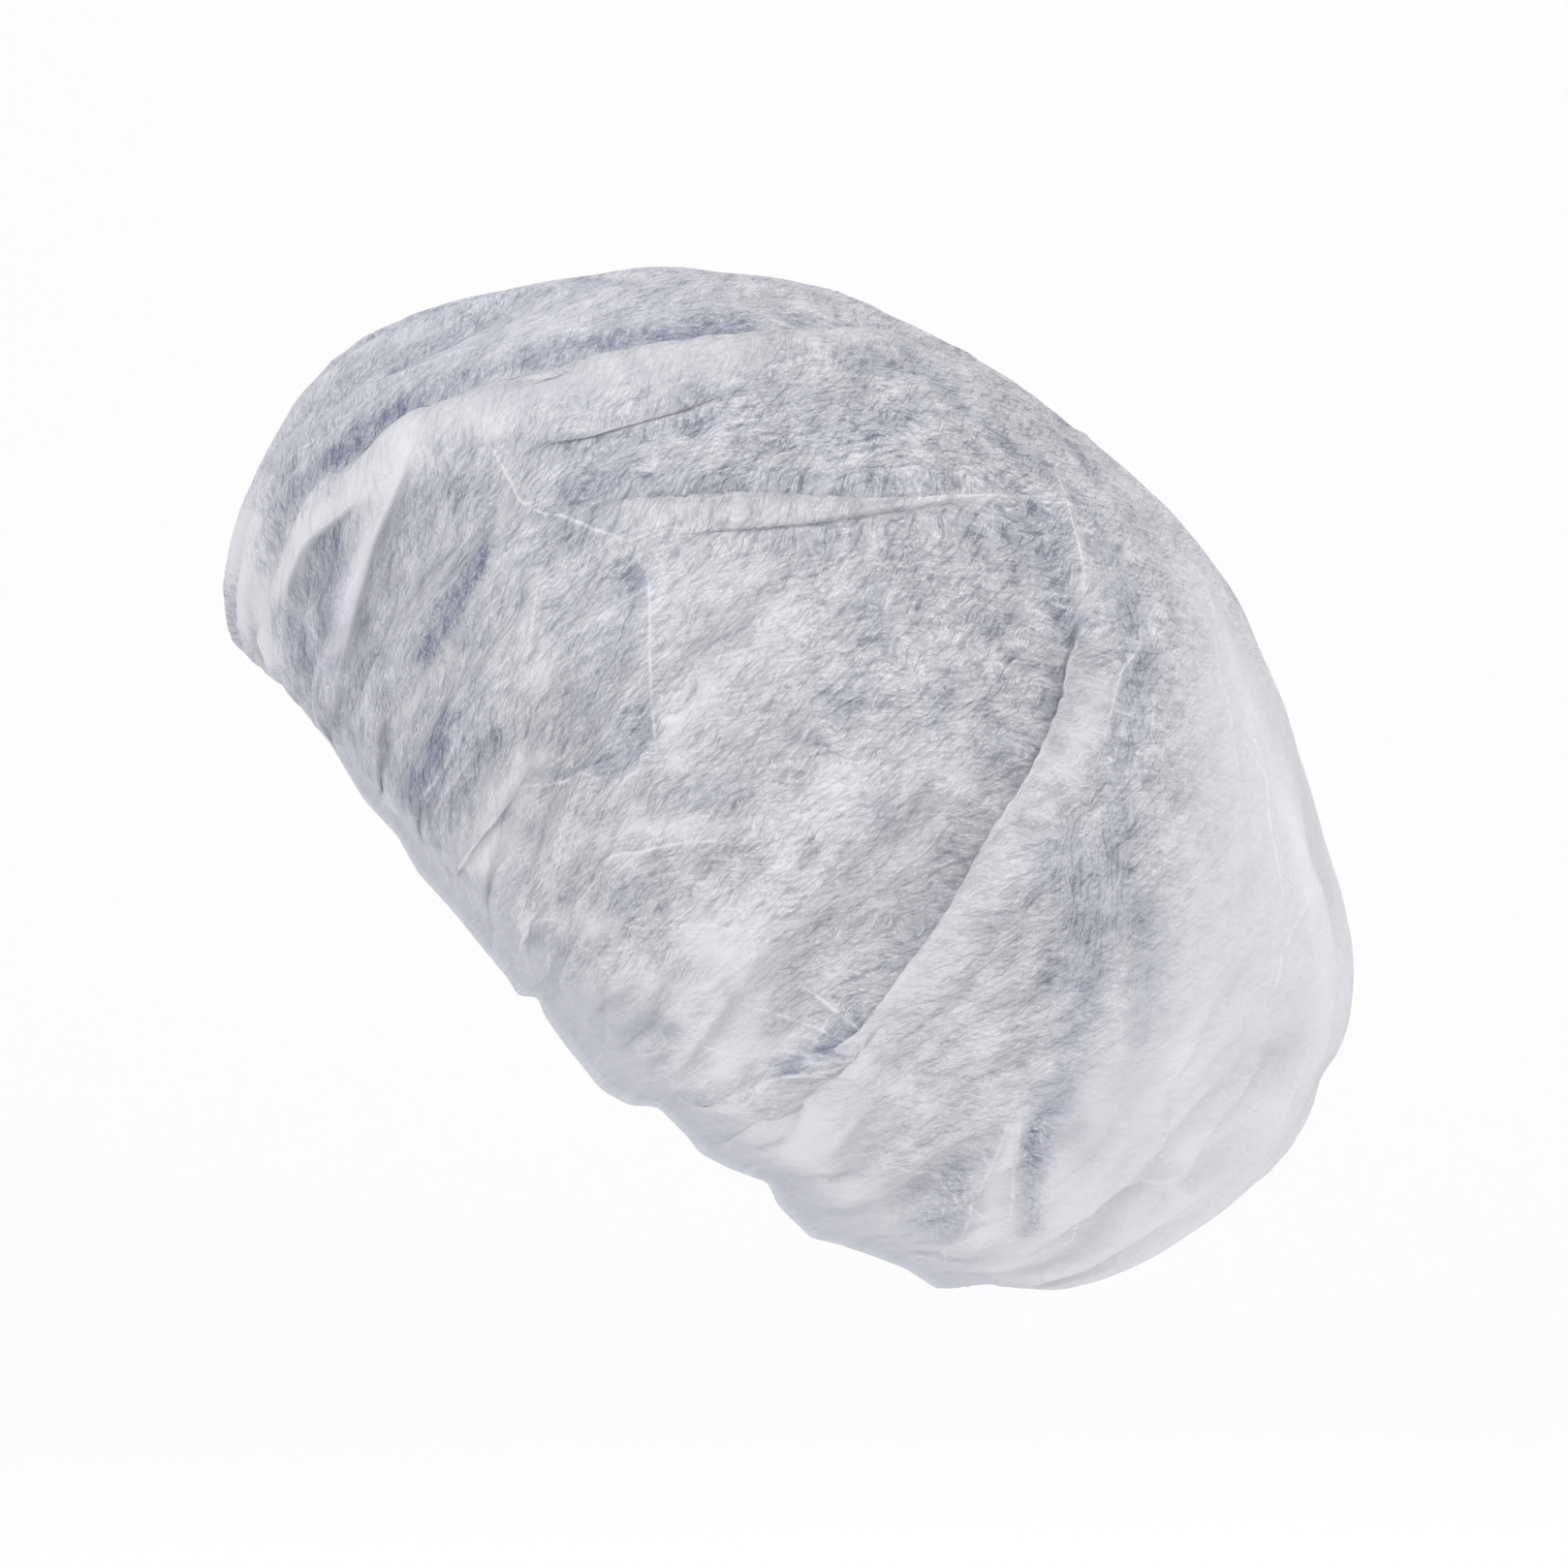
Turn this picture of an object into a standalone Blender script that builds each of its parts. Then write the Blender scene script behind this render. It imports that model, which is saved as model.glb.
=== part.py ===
"""A bouffant cap as worn: a puffed crown of thin nonwoven cloth, gathered by an elastic in a turned hem.

Lengths are in metres. The cap is shaped in its own frame, with the head opening level and the crown above it,
and an empty then tips it back to the slope that it is worn at, with its front towards -Y and its left side
towards +X. Two parameters place every point of the cloth: around, the angle round the opening in degrees
(0 front, 90 left, 180 back, 270 right), and up, the share of the way along the cloth from the hem (0) to the
middle of the crown (1).
"""

import math
from collections import namedtuple

import bmesh
import bpy
import numpy as np

# The head opening, measured to the elastic's middle line
OPENING_LENGTH = 0.206
OPENING_WIDTH = 0.156
OPENING_TILT = math.radians(41.3)
SIDE_DIP = 0.011
DIP_BACK_SHARE = 0.25
RING_POWER = 2.2

# The puffed bag above it
BAG_FRONT_REACH = 0.147
BAG_BACK_REACH = 0.137
BAG_WIDTH = 0.220
CROWN_HEIGHT = 0.165

# Cloth, hem and elastic. The cloth is cut as a flat disc.
CLOTH_DIAMETER = 0.533
CLOTH_WALL = 0.0011
HEM_LAP = 0.0034
LAP_SHORT = 0.0005
HEM_LEAN = 0.0028
NECK_HEIGHT = 0.0016
SCALLOP_DROP = 0.0012
ELASTIC_WIDTH = 0.0035
ELASTIC_THICKNESS = 0.001
PIECE_GAP = 0.0003

# Gathers at the hem, the wider billows that they run into, and the scale of a crease
GATHER_COUNT = 24
GATHER_DEPTH = 0.0017
GATHER_SWELL = 0.0014
GATHER_FADE = 0.045
BILLOW_COUNT = 11
BILLOW_DEPTH = 0.0040
BILLOW_IN_SHARE = 0.6
BILLOW_TOP_SHARE = 0.8
CREASE_WIDTH = 0.010
CREASE_DEPTH = 0.006
CREASE_STEPS = 25
CREASE_END_SHARE = 0.35

# How finely the cloth is faceted: the rings from hem to middle, and the columns in the last of them. A ring
# below each of the listed ones has twice as many columns.
MIDDLE_COLUMNS = 31
RING_UPS = (0.022, 0.05, 0.085, 0.125, 0.17, 0.22, 0.28, 0.345, 0.415, 0.49, 0.57, 0.65, 0.74, 0.83, 0.92)
HALVED_FROM = (0.65, 0.83)
COLUMNS = MIDDLE_COLUMNS * 2 ** len(HALVED_FROM)
SLOPE_STEP_DEGREES = 0.5
SLOPE_UP_SHARE = 0.005
LEVEL_UP_SHARE = 0.08

# How the crests of the gathers and billows drift from an even spacing: waves round the opening, and by how
# many radians each shifts them.
Drift = namedtuple("Drift", "waves shift phase")
GATHER_DRIFT = (Drift(3, 1.1, 0.7), Drift(5, 0.7, 2.1))
BILLOW_DRIFT = (Drift(2, 1.3, 0.4),)

# The crown's sections, one row for each height along the cloth. flare runs from 0, the hem's size, to 1, the
# bag's. front, side and back are shares of the reach that flare gives there, and the heights are shares of
# the crown's height.
Section = namedtuple("Section", "up flare front side back front_height side_height back_height")
SECTIONS = (
    Section(0.00, 0.00, 1.000, 1.000, 1.000, 0.000, 0.000, 0.000),
    Section(0.05, 0.30, 0.966, 0.992, 0.989, -0.028, -0.005, 0.029),
    Section(0.10, 0.55, 0.966, 0.988, 0.993, 0.010, 0.045, 0.103),
    Section(0.20, 0.90, 0.966, 0.978, 0.980, 0.167, 0.172, 0.266),
    Section(0.30, 1.00, 0.984, 0.995, 0.993, 0.341, 0.315, 0.424),
    Section(0.40, 1.00, 0.950, 0.990, 0.963, 0.501, 0.468, 0.582),
    Section(0.50, 1.00, 0.840, 0.922, 0.855, 0.633, 0.608, 0.709),
    Section(0.60, 1.00, 0.711, 0.805, 0.690, 0.758, 0.730, 0.812),
    Section(0.70, 1.00, 0.565, 0.650, 0.518, 0.867, 0.832, 0.900),
    Section(0.80, 1.00, 0.405, 0.455, 0.328, 0.941, 0.912, 0.964),
    Section(0.90, 1.00, 0.228, 0.238, 0.142, 0.985, 0.972, 0.993),
    Section(1.00, 1.00, 0.054, 0.000, -0.058, 1.000, 1.000, 1.000),
)

# The folds and dents that stand out, each a line from one place on the crown to another. width and depth are
# shares of the crease's, and a negative depth is a dent into the bag.
Crease = namedtuple("Crease", "name around up to_around to_up width depth")
CREASES = (
    Crease("left_ridge", 108, 0.21, 111, 0.75, 0.9, 0.9),
    Crease("left_valley", 101, 0.22, 103, 0.66, 1.1, -1.0),
    Crease("left_node_foot", 108, 0.21, 101, 0.05, 0.8, 0.6),
    Crease("top_fold_front", 57, 0.355, 85, 0.67, 0.7, 0.5),
    Crease("top_fold_back", 85, 0.67, 112, 0.86, 0.7, 0.5),
    Crease("front_bar", 60, 0.37, 84, 0.245, 0.7, 0.5),
    Crease("front_side_band", 27, 0.18, 36, 0.39, 1.6, 0.8),
    Crease("front_top_band", 36, 0.39, 42, 0.68, 1.6, 0.8),
    Crease("front_dent", 20, 0.27, 24, 0.50, 1.3, -0.8),
    Crease("left_side_dent", 46, 0.17, 50, 0.33, 1.2, -0.9),
    Crease("left_low_dent", 70, 0.11, 76, 0.21, 1.2, -0.8),
    Crease("left_low_pleat", 125, 0.22, 146, 0.09, 0.7, 0.5),
    Crease("left_low_fold", 117, 0.11, 150, 0.12, 0.8, -0.6),
    Crease("back_step", 152, 0.385, 206, 0.365, 0.7, -0.8),
    Crease("back_dent", 163, 0.50, 170, 0.72, 1.5, -0.6),
    Crease("right_ridge", 247, 0.17, 238, 0.70, 1.0, 0.9),
    Crease("right_valley", 256, 0.19, 248, 0.62, 1.1, -0.9),
    Crease("right_top_fold", 236, 0.80, 300, 0.42, 0.8, 0.5),
    Crease("right_bar", 300, 0.42, 279, 0.22, 0.8, 0.5),
    Crease("right_front_band", 330, 0.20, 322, 0.62, 1.5, 0.7),
    Crease("right_side_dent", 309, 0.15, 314, 0.34, 1.2, -0.9),
    Crease("right_low_pleat", 232, 0.22, 212, 0.08, 0.8, 0.6),
)

# A ring of the hem. side runs from -1, inside the elastic, to 1, outside it, and ripple says how much of the
# lean and of the scallops the ring takes.
HemRow = namedtuple("HemRow", "side height ripple")


def leg_offset():
    """From the elastic's middle line to the middle of the cloth on either side of it."""
    return ELASTIC_THICKNESS / 2 + PIECE_GAP + CLOTH_WALL / 2


def elastic_foot():
    """The elastic's height above the fold, which is as deep as it is wide to each side."""
    return leg_offset() + PIECE_GAP


def hem_height():
    return elastic_foot() + ELASTIC_WIDTH + HEM_LAP


def hem_rows():
    """The hem's profile, from the free edge of its lap, down round the elastic and up to the crown."""
    lap_side = 1 - (CLOTH_WALL + 2 * PIECE_GAP) / leg_offset()
    elastic_top = elastic_foot() + ELASTIC_WIDTH
    return (
        HemRow(lap_side, hem_height() - LAP_SHORT, 0.95),
        HemRow(-1, elastic_top + CLOTH_WALL / 2, 0),
        HemRow(-1, leg_offset(), 0),
        HemRow(-0.55, 0, 0),
        HemRow(0.55, 0, 0),
        HemRow(1, leg_offset(), 0),
        HemRow(1, elastic_top, 0.65),
        HemRow(1, hem_height(), 1),
    )


def smooth_value(ups, values, up):
    """The value at up on a smooth curve through the rows: cubics that share their slopes at each row."""
    ups, values = np.array(ups), np.array(values)
    slopes = np.gradient(values, ups)
    row = np.clip(np.searchsorted(ups, up, side="right") - 1, 0, len(ups) - 2)
    step = ups[row + 1] - ups[row]
    share = (up - ups[row]) / step
    square, cube = share**2, share**3
    return (
        (2 * cube - 3 * square + 1) * values[row]
        + (cube - 2 * square + share) * step * slopes[row]
        + (3 * square - 2 * cube) * values[row + 1]
        + (cube - square) * step * slopes[row + 1]
    )


def section_value(column, up):
    return smooth_value([row.up for row in SECTIONS], [getattr(row, column) for row in SECTIONS], up)


def ring_point(around, front, side, back, front_height, side_height, back_height):
    """A point of a rounded ring that reaches front, side and back of the axis, each at its own height."""
    angle = np.radians(around)
    across = np.sign(np.sin(angle)) * np.abs(np.sin(angle)) ** (2 / RING_POWER)
    along = -np.sign(np.cos(angle)) * np.abs(np.cos(angle)) ** (2 / RING_POWER)
    end_height = np.where(along < 0, front_height, back_height)
    height = side_height + (end_height - side_height) * np.cos(angle) ** 2
    middle, half = (back - front) / 2, (back + front) / 2
    return np.stack([side * across, middle + half * along, height], axis=-1)


def side_dip(around):
    """How far the hem dips at the sides, deepest a little behind the middle of each."""
    angle = np.radians(around)
    return SIDE_DIP * np.abs(np.sin(angle)) ** 3 * (1 - DIP_BACK_SHARE * np.cos(angle))


def opening_ring(around, offset, height):
    """A ring along the elastic's middle line, at an offset outwards and a height above the hem's foot."""
    length, width = OPENING_LENGTH / 2 + offset, OPENING_WIDTH / 2 + offset
    ring = ring_point(around, length, width, length, height, height, height)
    ring[..., 2] -= side_dip(around)
    return ring


def smooth_crown(around, up):
    """The crown's surface without its creases and gathers."""
    around, up = np.broadcast_arrays(np.asarray(around, float), np.asarray(up, float))
    flare = section_value("flare", up)
    hem_out = leg_offset() + HEM_LEAN + GATHER_DEPTH
    hem_top = (hem_height() + PIECE_GAP) * (1 - flare)

    def reach(column, opening, bag):
        return section_value(column, up) * (opening + hem_out + (bag - opening - hem_out) * flare)

    crown = ring_point(
        around,
        reach("front", OPENING_LENGTH / 2, BAG_FRONT_REACH),
        reach("side", OPENING_WIDTH / 2, BAG_WIDTH / 2),
        reach("back", OPENING_LENGTH / 2, BAG_BACK_REACH),
        section_value("front_height", up) * CROWN_HEIGHT + hem_top,
        section_value("side_height", up) * CROWN_HEIGHT + hem_top,
        section_value("back_height", up) * CROWN_HEIGHT + hem_top,
    )
    crown[..., 2] -= side_dip(around) * (1 - flare)
    return crown


def unit(vectors):
    return vectors / np.maximum(np.linalg.norm(vectors, axis=-1, keepdims=True), 1e-9)


def opening_normal(around):
    """The level direction straight out of the opening's ring."""
    before, after = around - SLOPE_STEP_DEGREES, around + SLOPE_STEP_DEGREES
    tangent = opening_ring(after, 0, 0) - opening_ring(before, 0, 0)
    return unit(np.cross(tangent * np.array([1, 1, 0]), np.array([0, 0, 1.0])))


def crown_normal(around, up):
    """The direction straight out of the smooth crown, from its slopes both ways, level near the hem."""
    before, after = around - SLOPE_STEP_DEGREES, around + SLOPE_STEP_DEGREES
    low, high = np.clip(up - SLOPE_UP_SHARE, 0, 1), np.clip(up + SLOPE_UP_SHARE, 0, 1)
    round_way = smooth_crown(after, up) - smooth_crown(before, up)
    normal = unit(np.cross(round_way, smooth_crown(around, high) - smooth_crown(around, low)))
    share = np.clip(up / LEVEL_UP_SHARE, 0, 1)[..., None]
    return unit(opening_normal(around) * (1 - share) + normal * share)


def drifting_wave(around, count, drifts):
    """A wave round the opening with uneven crests, from -1 in a hollow to 1 on a crest."""
    angle = np.radians(around)
    return np.cos(count * angle + sum(d.shift * np.sin(d.waves * angle + d.phase) for d in drifts))


def gather_wave(around):
    return drifting_wave(around, GATHER_COUNT, GATHER_DRIFT)


def gather_height(around, up):
    """How far the gathers and the billows push the cloth out, on either side of the smooth crown."""
    along = up * CLOTH_DIAMETER / 2
    gather = GATHER_DEPTH * np.exp(-along / GATHER_FADE)
    gather += GATHER_SWELL * np.sin(np.pi * np.clip(along / (2 * GATHER_FADE), 0, 1))
    billow = drifting_wave(around, BILLOW_COUNT, BILLOW_DRIFT) - BILLOW_IN_SHARE
    belly = np.sin(np.pi * np.clip(up / BILLOW_TOP_SHARE, 0, 1)) ** 1.5
    return gather * gather_wave(around) + BILLOW_DEPTH * belly * billow


def crease_height(around, up):
    """How far the listed creases push the cloth: each is a rounded fold along a line, deepest half way."""
    point = smooth_crown(around, up)
    steps = np.linspace(0, 1, CREASE_STEPS)
    height = np.zeros(np.shape(around))
    for crease in CREASES:
        line = smooth_crown(
            crease.around + (crease.to_around - crease.around) * steps,
            crease.up + (crease.to_up - crease.up) * steps,
        )
        apart = np.linalg.norm(point[..., None, :] - line, axis=-1)
        middle_share = np.sin(np.pi * steps[apart.argmin(axis=-1)])
        taper = CREASE_END_SHARE + (1 - CREASE_END_SHARE) * middle_share
        reach = apart.min(axis=-1) / (crease.width * CREASE_WIDTH)
        height += crease.depth * CREASE_DEPTH * taper * np.exp(-(reach**2))
    return height


def crown_point(around, up):
    around, up = np.broadcast_arrays(np.asarray(around, float), np.asarray(up, float))
    height = gather_height(around, up) + crease_height(around, up)
    return smooth_crown(around, up) + height[..., None] * crown_normal(around, up)


def hem_point(around, row):
    """A point of the hem: the opening's ring, moved out to its leg, with the scallops of the gathers."""
    scallop = 1 + gather_wave(around)
    ring = opening_ring(around, row.side * leg_offset() + row.ripple * HEM_LEAN, row.height)
    ring += (row.ripple * GATHER_DEPTH * scallop)[:, None] * opening_normal(around)
    ring[:, 2] -= SCALLOP_DROP * scallop / 2 * (1 - row.height / hem_height()) ** 2
    return ring


def column_angles(count):
    return np.arange(count) * 360 / count


def add_faces_between(bm, lower, upper):
    """Faces from a ring to the next one, which has as many corners or half as many."""
    share = len(lower) // len(upper)
    for i, corner in enumerate(upper):
        after = upper[(i + 1) % len(upper)]
        below = [lower[(share * i + k) % len(lower)] for k in range(share + 1)]
        if share == 1:
            bm.faces.new((below[0], below[1], after, corner))
        else:
            bm.faces.new((below[0], below[1], corner))
            bm.faces.new((below[1], after, corner))
            bm.faces.new((below[1], below[2], after))


def add_piece(name, rings, material, frame, tip=None, closed=False, wall=None):
    """A piece through rings of points: open, closed over a tip, or its last ring joined to its first."""
    bm = bmesh.new()
    loops = [[bm.verts.new(point) for point in ring] for ring in rings]
    for lower, upper in zip(loops, loops[1:] + loops[:1] * closed):
        add_faces_between(bm, lower, upper)
    if tip is not None:
        middle = bm.verts.new(tip)
        for corner, after in zip(loops[-1], loops[-1][1:] + loops[-1][:1]):
            bm.faces.new((corner, after, middle))
    mesh = bpy.data.meshes.new(name)
    bm.to_mesh(mesh)
    bm.free()
    mesh.shade_smooth()
    mesh.set_sharp_from_angle(angle=math.radians(50))
    mesh.materials.append(material)
    piece = bpy.data.objects.new(name, mesh)
    bpy.context.collection.objects.link(piece)
    piece.parent = frame
    if wall:
        thicken = piece.modifiers.new("Wall", "SOLIDIFY")
        thicken.thickness = wall
        thicken.offset = 0
    return piece


def make_material(name, colour, roughness):
    material = bpy.data.materials.new(name)
    material.use_nodes = True
    shader = material.node_tree.nodes["Principled BSDF"]
    shader.inputs["Base Color"].default_value = (*colour, 1)
    shader.inputs["Roughness"].default_value = roughness
    shader.inputs["Metallic"].default_value = 0.0
    return material


def make_crown(frame):
    """The bag: a short neck that carries the hem's slope on, then rings up to the middle of the crown."""
    around = column_angles(COLUMNS)
    waist, top = (hem_point(around, row) for row in hem_rows()[-2:])
    slope = unit(top - waist)
    rings = [top + slope * PIECE_GAP, top + slope * NECK_HEIGHT]
    for up in RING_UPS:
        halvings = sum(up >= start for start in HALVED_FROM)
        rings.append(crown_point(column_angles(COLUMNS // 2**halvings), up))
    cloth = make_material("spunbond_cloth", (0.80, 0.81, 0.84), 0.75)
    add_piece("crown", rings, cloth, frame, tip=smooth_crown(0, 1), wall=CLOTH_WALL)


def make_hem(frame):
    """The turned edge: a channel of the same cloth, doubled round the elastic and open at its lap inside."""
    around = column_angles(COLUMNS)
    rings = [hem_point(around, row) for row in hem_rows()]
    cloth = make_material("turned_cloth", (0.74, 0.77, 0.84), 0.7)
    add_piece("hem_casing", rings, cloth, frame, wall=CLOTH_WALL)


def make_elastic(frame):
    """The flat elastic, standing on edge in the foot of the channel."""
    around = column_angles(COLUMNS // 2)
    foot, top = elastic_foot(), elastic_foot() + ELASTIC_WIDTH
    half = ELASTIC_THICKNESS / 2
    corners = ((half, foot), (half, top), (-half, top), (-half, foot))
    rings = [opening_ring(around, offset, height) for offset, height in corners]
    rubber = make_material("covered_elastic", (0.86, 0.86, 0.85), 0.6)
    add_piece("elastic_band", rings, rubber, frame, closed=True)


def make_cap():
    frame = bpy.data.objects.new("cap_frame", None)
    frame.rotation_euler.x = -OPENING_TILT
    bpy.context.collection.objects.link(frame)
    make_crown(frame)
    make_hem(frame)
    make_elastic(frame)


for old in list(bpy.data.objects):
    bpy.data.objects.remove(old)
make_cap()
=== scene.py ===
import math

import bpy
import numpy as np
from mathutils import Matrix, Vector


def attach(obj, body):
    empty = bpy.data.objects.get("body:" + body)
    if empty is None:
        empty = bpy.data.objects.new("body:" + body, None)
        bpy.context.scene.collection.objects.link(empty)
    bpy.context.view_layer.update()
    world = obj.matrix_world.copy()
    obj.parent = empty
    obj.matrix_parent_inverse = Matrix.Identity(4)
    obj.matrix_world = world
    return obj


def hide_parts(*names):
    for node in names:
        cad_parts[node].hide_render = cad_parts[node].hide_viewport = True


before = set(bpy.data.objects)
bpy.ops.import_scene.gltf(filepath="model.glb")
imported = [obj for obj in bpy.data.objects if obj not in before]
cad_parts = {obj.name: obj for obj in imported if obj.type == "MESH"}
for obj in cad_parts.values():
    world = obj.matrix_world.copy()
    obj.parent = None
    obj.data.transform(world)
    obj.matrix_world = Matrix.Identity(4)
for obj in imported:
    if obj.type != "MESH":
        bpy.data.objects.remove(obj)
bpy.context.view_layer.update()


# The elastic: a flat braided band, 3.5 mm wide and 1 mm thick, closed into a ring and stretched to the size
# of the opening. It lies loose in the turned hem, so it only shows as a firmer edge through the cloth. Angles
# go round the opening, 0 at the front (-Y), a quarter turn at the left (+X).
OPENING_HALF_LENGTH = 0.103
OPENING_HALF_WIDTH = 0.078
OPENING_TILT = math.radians(41.3)
SIDE_DIP = 0.011
DIP_BACK_SHARE = 0.25
RING_POWER = 2.2
ELASTIC_WIDTH = 0.0035
ELASTIC_THICKNESS = 0.001
ELASTIC_FOOT = 0.00165
ELASTIC_CORDS = 5
ELASTIC_RIB_DEPTH = 0.00006
ELASTIC_RIB_ROOM = 0.00008
ELASTIC_FACE_POWER = 0.35
ELASTIC_EDGE_POWER = 0.8
ELASTIC_COLUMNS = 480
ELASTIC_SIDES = 48
RUBBER_GREY = (0.62, 0.62, 0.62, 1)
RUBBER_WHITE = (0.80, 0.80, 0.79, 1)


def side_dip(angle):
    """How far the edge dips: its depth times the third power of the sine, deeper behind the middle."""
    return SIDE_DIP * np.abs(np.sin(angle)) ** 3 * (1 - DIP_BACK_SHARE * np.cos(angle))


def squared(wave, power=2 / RING_POWER):
    """A sine or cosine with its size raised to a power below 1, which squares off a circle a little."""
    return np.sign(wave) * np.abs(wave) ** power


def opening_ring(angle, offset, height):
    """The opening's squared oval, widened by offset all round and lifted by height, less the side dip."""
    across = (OPENING_HALF_WIDTH + offset) * squared(np.sin(angle))
    along = -(OPENING_HALF_LENGTH + offset) * squared(np.cos(angle))
    return np.stack(np.broadcast_arrays(across, along, height - side_dip(angle)), axis=-1)


def tipped(points):
    """Points of the level cap, turned about X to the slope that it is worn at."""
    c, s = math.cos(OPENING_TILT), math.sin(OPENING_TILT)
    x, y, z = np.moveaxis(np.asarray(points), -1, 0)
    return np.stack([x, y * c + z * s, z * c - y * s], axis=-1)


def add_surface(name, points, material, uv=None, tip=None):
    """A mesh through a grid of points, rows upwards by columns round, closed round and over any tip."""
    rows, columns = points.shape[:2]
    ids = np.arange(rows * columns).reshape(rows, columns)
    after = np.roll(ids, -1, axis=1)
    faces = np.stack([ids[:-1], after[:-1], after[1:], ids[1:]], axis=-1).reshape(-1, 4).tolist()
    places = points.reshape(-1, 3)
    if tip is not None:
        faces += np.stack([ids[-1], after[-1], np.full(columns, rows * columns)], axis=-1).tolist()
        places = np.concatenate([places, [tip]])
    mesh = bpy.data.meshes.new(name)
    mesh.from_pydata(tipped(places).tolist(), [], faces)
    mesh.shade_smooth()
    mesh.materials.append(material)
    if uv is not None:
        corners = np.empty(len(mesh.loops), dtype=np.int32)
        mesh.loops.foreach_get("vertex_index", corners)
        layer = mesh.uv_layers.new(name="Cut")
        layer.data.foreach_set("uv", np.asarray(uv, dtype=np.float32)[corners].ravel())
    piece = bpy.data.objects.new(name, mesh)
    bpy.context.collection.objects.link(piece)
    return piece


def set_points(piece, name, values):
    """Gives every point of a piece a named value, or a row of three."""
    values = np.asarray(values, dtype=np.float32)
    if values.ndim == 1:
        layer = piece.data.attributes.new(name, "FLOAT", "POINT")
        layer.data.foreach_set("value", values)
    else:
        layer = piece.data.attributes.new(name, "FLOAT_VECTOR", "POINT")
        layer.data.foreach_set("vector", values.ravel())


def add_node(tree, kind, inputs=None, **settings):
    """A shader node with its settings and its inputs, each a value or the socket that feeds it."""
    node = tree.nodes.new("ShaderNode" + kind)
    for key, value in settings.items():
        setattr(node, key, value)
    for key, value in (inputs or {}).items():
        if isinstance(value, bpy.types.NodeSocket):
            tree.links.new(value, node.inputs[key])
        else:
            node.inputs[key].default_value = value
    return node


def new_material(name):
    """A material with an empty node tree, and that tree."""
    material = bpy.data.materials.new(name)
    material.use_nodes = True
    material.node_tree.nodes.clear()
    return material, material.node_tree


def calculate(tree, operation, first, second=0.0, third=0.0, clamp=False):
    """The result of a Math node on values or sockets. MULTIPLY_ADD is first times second, plus third."""
    node = add_node(tree, "Math", {0: first, 1: second, 2: third}, operation=operation, use_clamp=clamp)
    return node.outputs[0]


def spread(tree, value, low, high, to_low=0.0, to_high=1.0):
    """A value between low and high, moved smoothly to between to_low and to_high."""
    inputs = {"Value": value, "From Min": low, "From Max": high, "To Min": to_low, "To Max": to_high}
    return add_node(tree, "MapRange", inputs, interpolation_type="SMOOTHSTEP").outputs["Result"]


def mixed(tree, share, first, second, blend="MIX"):
    """Two colours, mixed or multiplied by a share."""
    inputs = {"Factor": share, "A": first, "B": second}
    return add_node(tree, "Mix", inputs, data_type="RGBA", blend_type=blend).outputs["Result"]


def make_elastic():
    """The band's section, a full turn squared off strongly outwards and less upwards, with a cosine rib for
    each cord of the braid, carried round the opening."""
    angle = np.arange(ELASTIC_COLUMNS) * 2 * np.pi / ELASTIC_COLUMNS
    turn = (np.arange(ELASTIC_SIDES + 1) * 2 * np.pi / ELASTIC_SIDES)[:, None]
    face, edge = np.cos(turn), np.sin(turn)
    rib = ELASTIC_RIB_DEPTH * np.cos(np.pi * ELASTIC_CORDS * edge)
    out = (ELASTIC_THICKNESS / 2 - ELASTIC_RIB_ROOM) * squared(face, ELASTIC_FACE_POWER) + rib * np.sign(face)
    up = ELASTIC_WIDTH / 2 * squared(edge, ELASTIC_EDGE_POWER)
    points = opening_ring(angle[None], out, ELASTIC_FOOT + ELASTIC_WIDTH / 2 + up)
    length = angle[None] * (OPENING_HALF_LENGTH + OPENING_HALF_WIDTH) / 2
    girth = turn / np.pi * (ELASTIC_WIDTH + ELASTIC_THICKNESS)
    uv = np.stack(np.broadcast_arrays(length, girth), axis=-1).reshape(-1, 2)
    return add_surface("elastic_braid", points, make_rubber_braid(), uv)


def make_rubber_braid():
    """Rubber cords wound with thread: slanting bands on the band's own map, as colour and as relief."""
    material, tree = new_material("rubber_braid")
    uv = add_node(tree, "UVMap", uv_map="Cut").outputs["UV"]
    braid = add_node(
        tree, "TexWave", {"Vector": uv, "Scale": 220.0, "Distortion": 0.8, "Detail": 1.0}, wave_type="BANDS",
        bands_direction="DIAGONAL",
    ).outputs["Fac"]
    colour = mixed(tree, braid, RUBBER_GREY, RUBBER_WHITE)
    bump = add_node(tree, "Bump", {"Height": braid, "Strength": 0.6, "Distance": 0.0001}).outputs["Normal"]
    rubber = add_node(tree, "BsdfPrincipled", {"Base Color": colour, "Roughness": 0.65, "Normal": bump})
    add_node(tree, "OutputMaterial", {"Surface": rubber.outputs["BSDF"]})
    return material


elastic = make_elastic()
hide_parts("elastic_band")
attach(elastic, "root")


# The hem: the edge of the cloth, turned in round the elastic as a doubled channel 8.5 mm deep, with the cut
# edge inside. The elastic gathers it, so it runs in shallow scallops with a notch between two of them, and it
# looks denser and bluer than the cloth above.
HEM_HEIGHT = 0.0085
HEM_LEG_OFFSET = 0.00135
HEM_LEAN = 0.0028
GATHER_DEPTH = 0.0017
HEM_TOP_HOLD = 0.9
HEM_RIB_DEPTH = 0.00022
HEM_RIBS_A_GATHER = 3
HEM_SLACK = 0.5
HEM_ROWS = 40
COLUMNS = 640
DROP_ROUNDING = 0.7
CROWN_RADIUS = 0.2495
HEM_TINT = (0.97, 0.98, 1.0, 1)
HEM_TONES = {"veil": 0.10, "calm": 0.8, "cool": 0.7}
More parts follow.
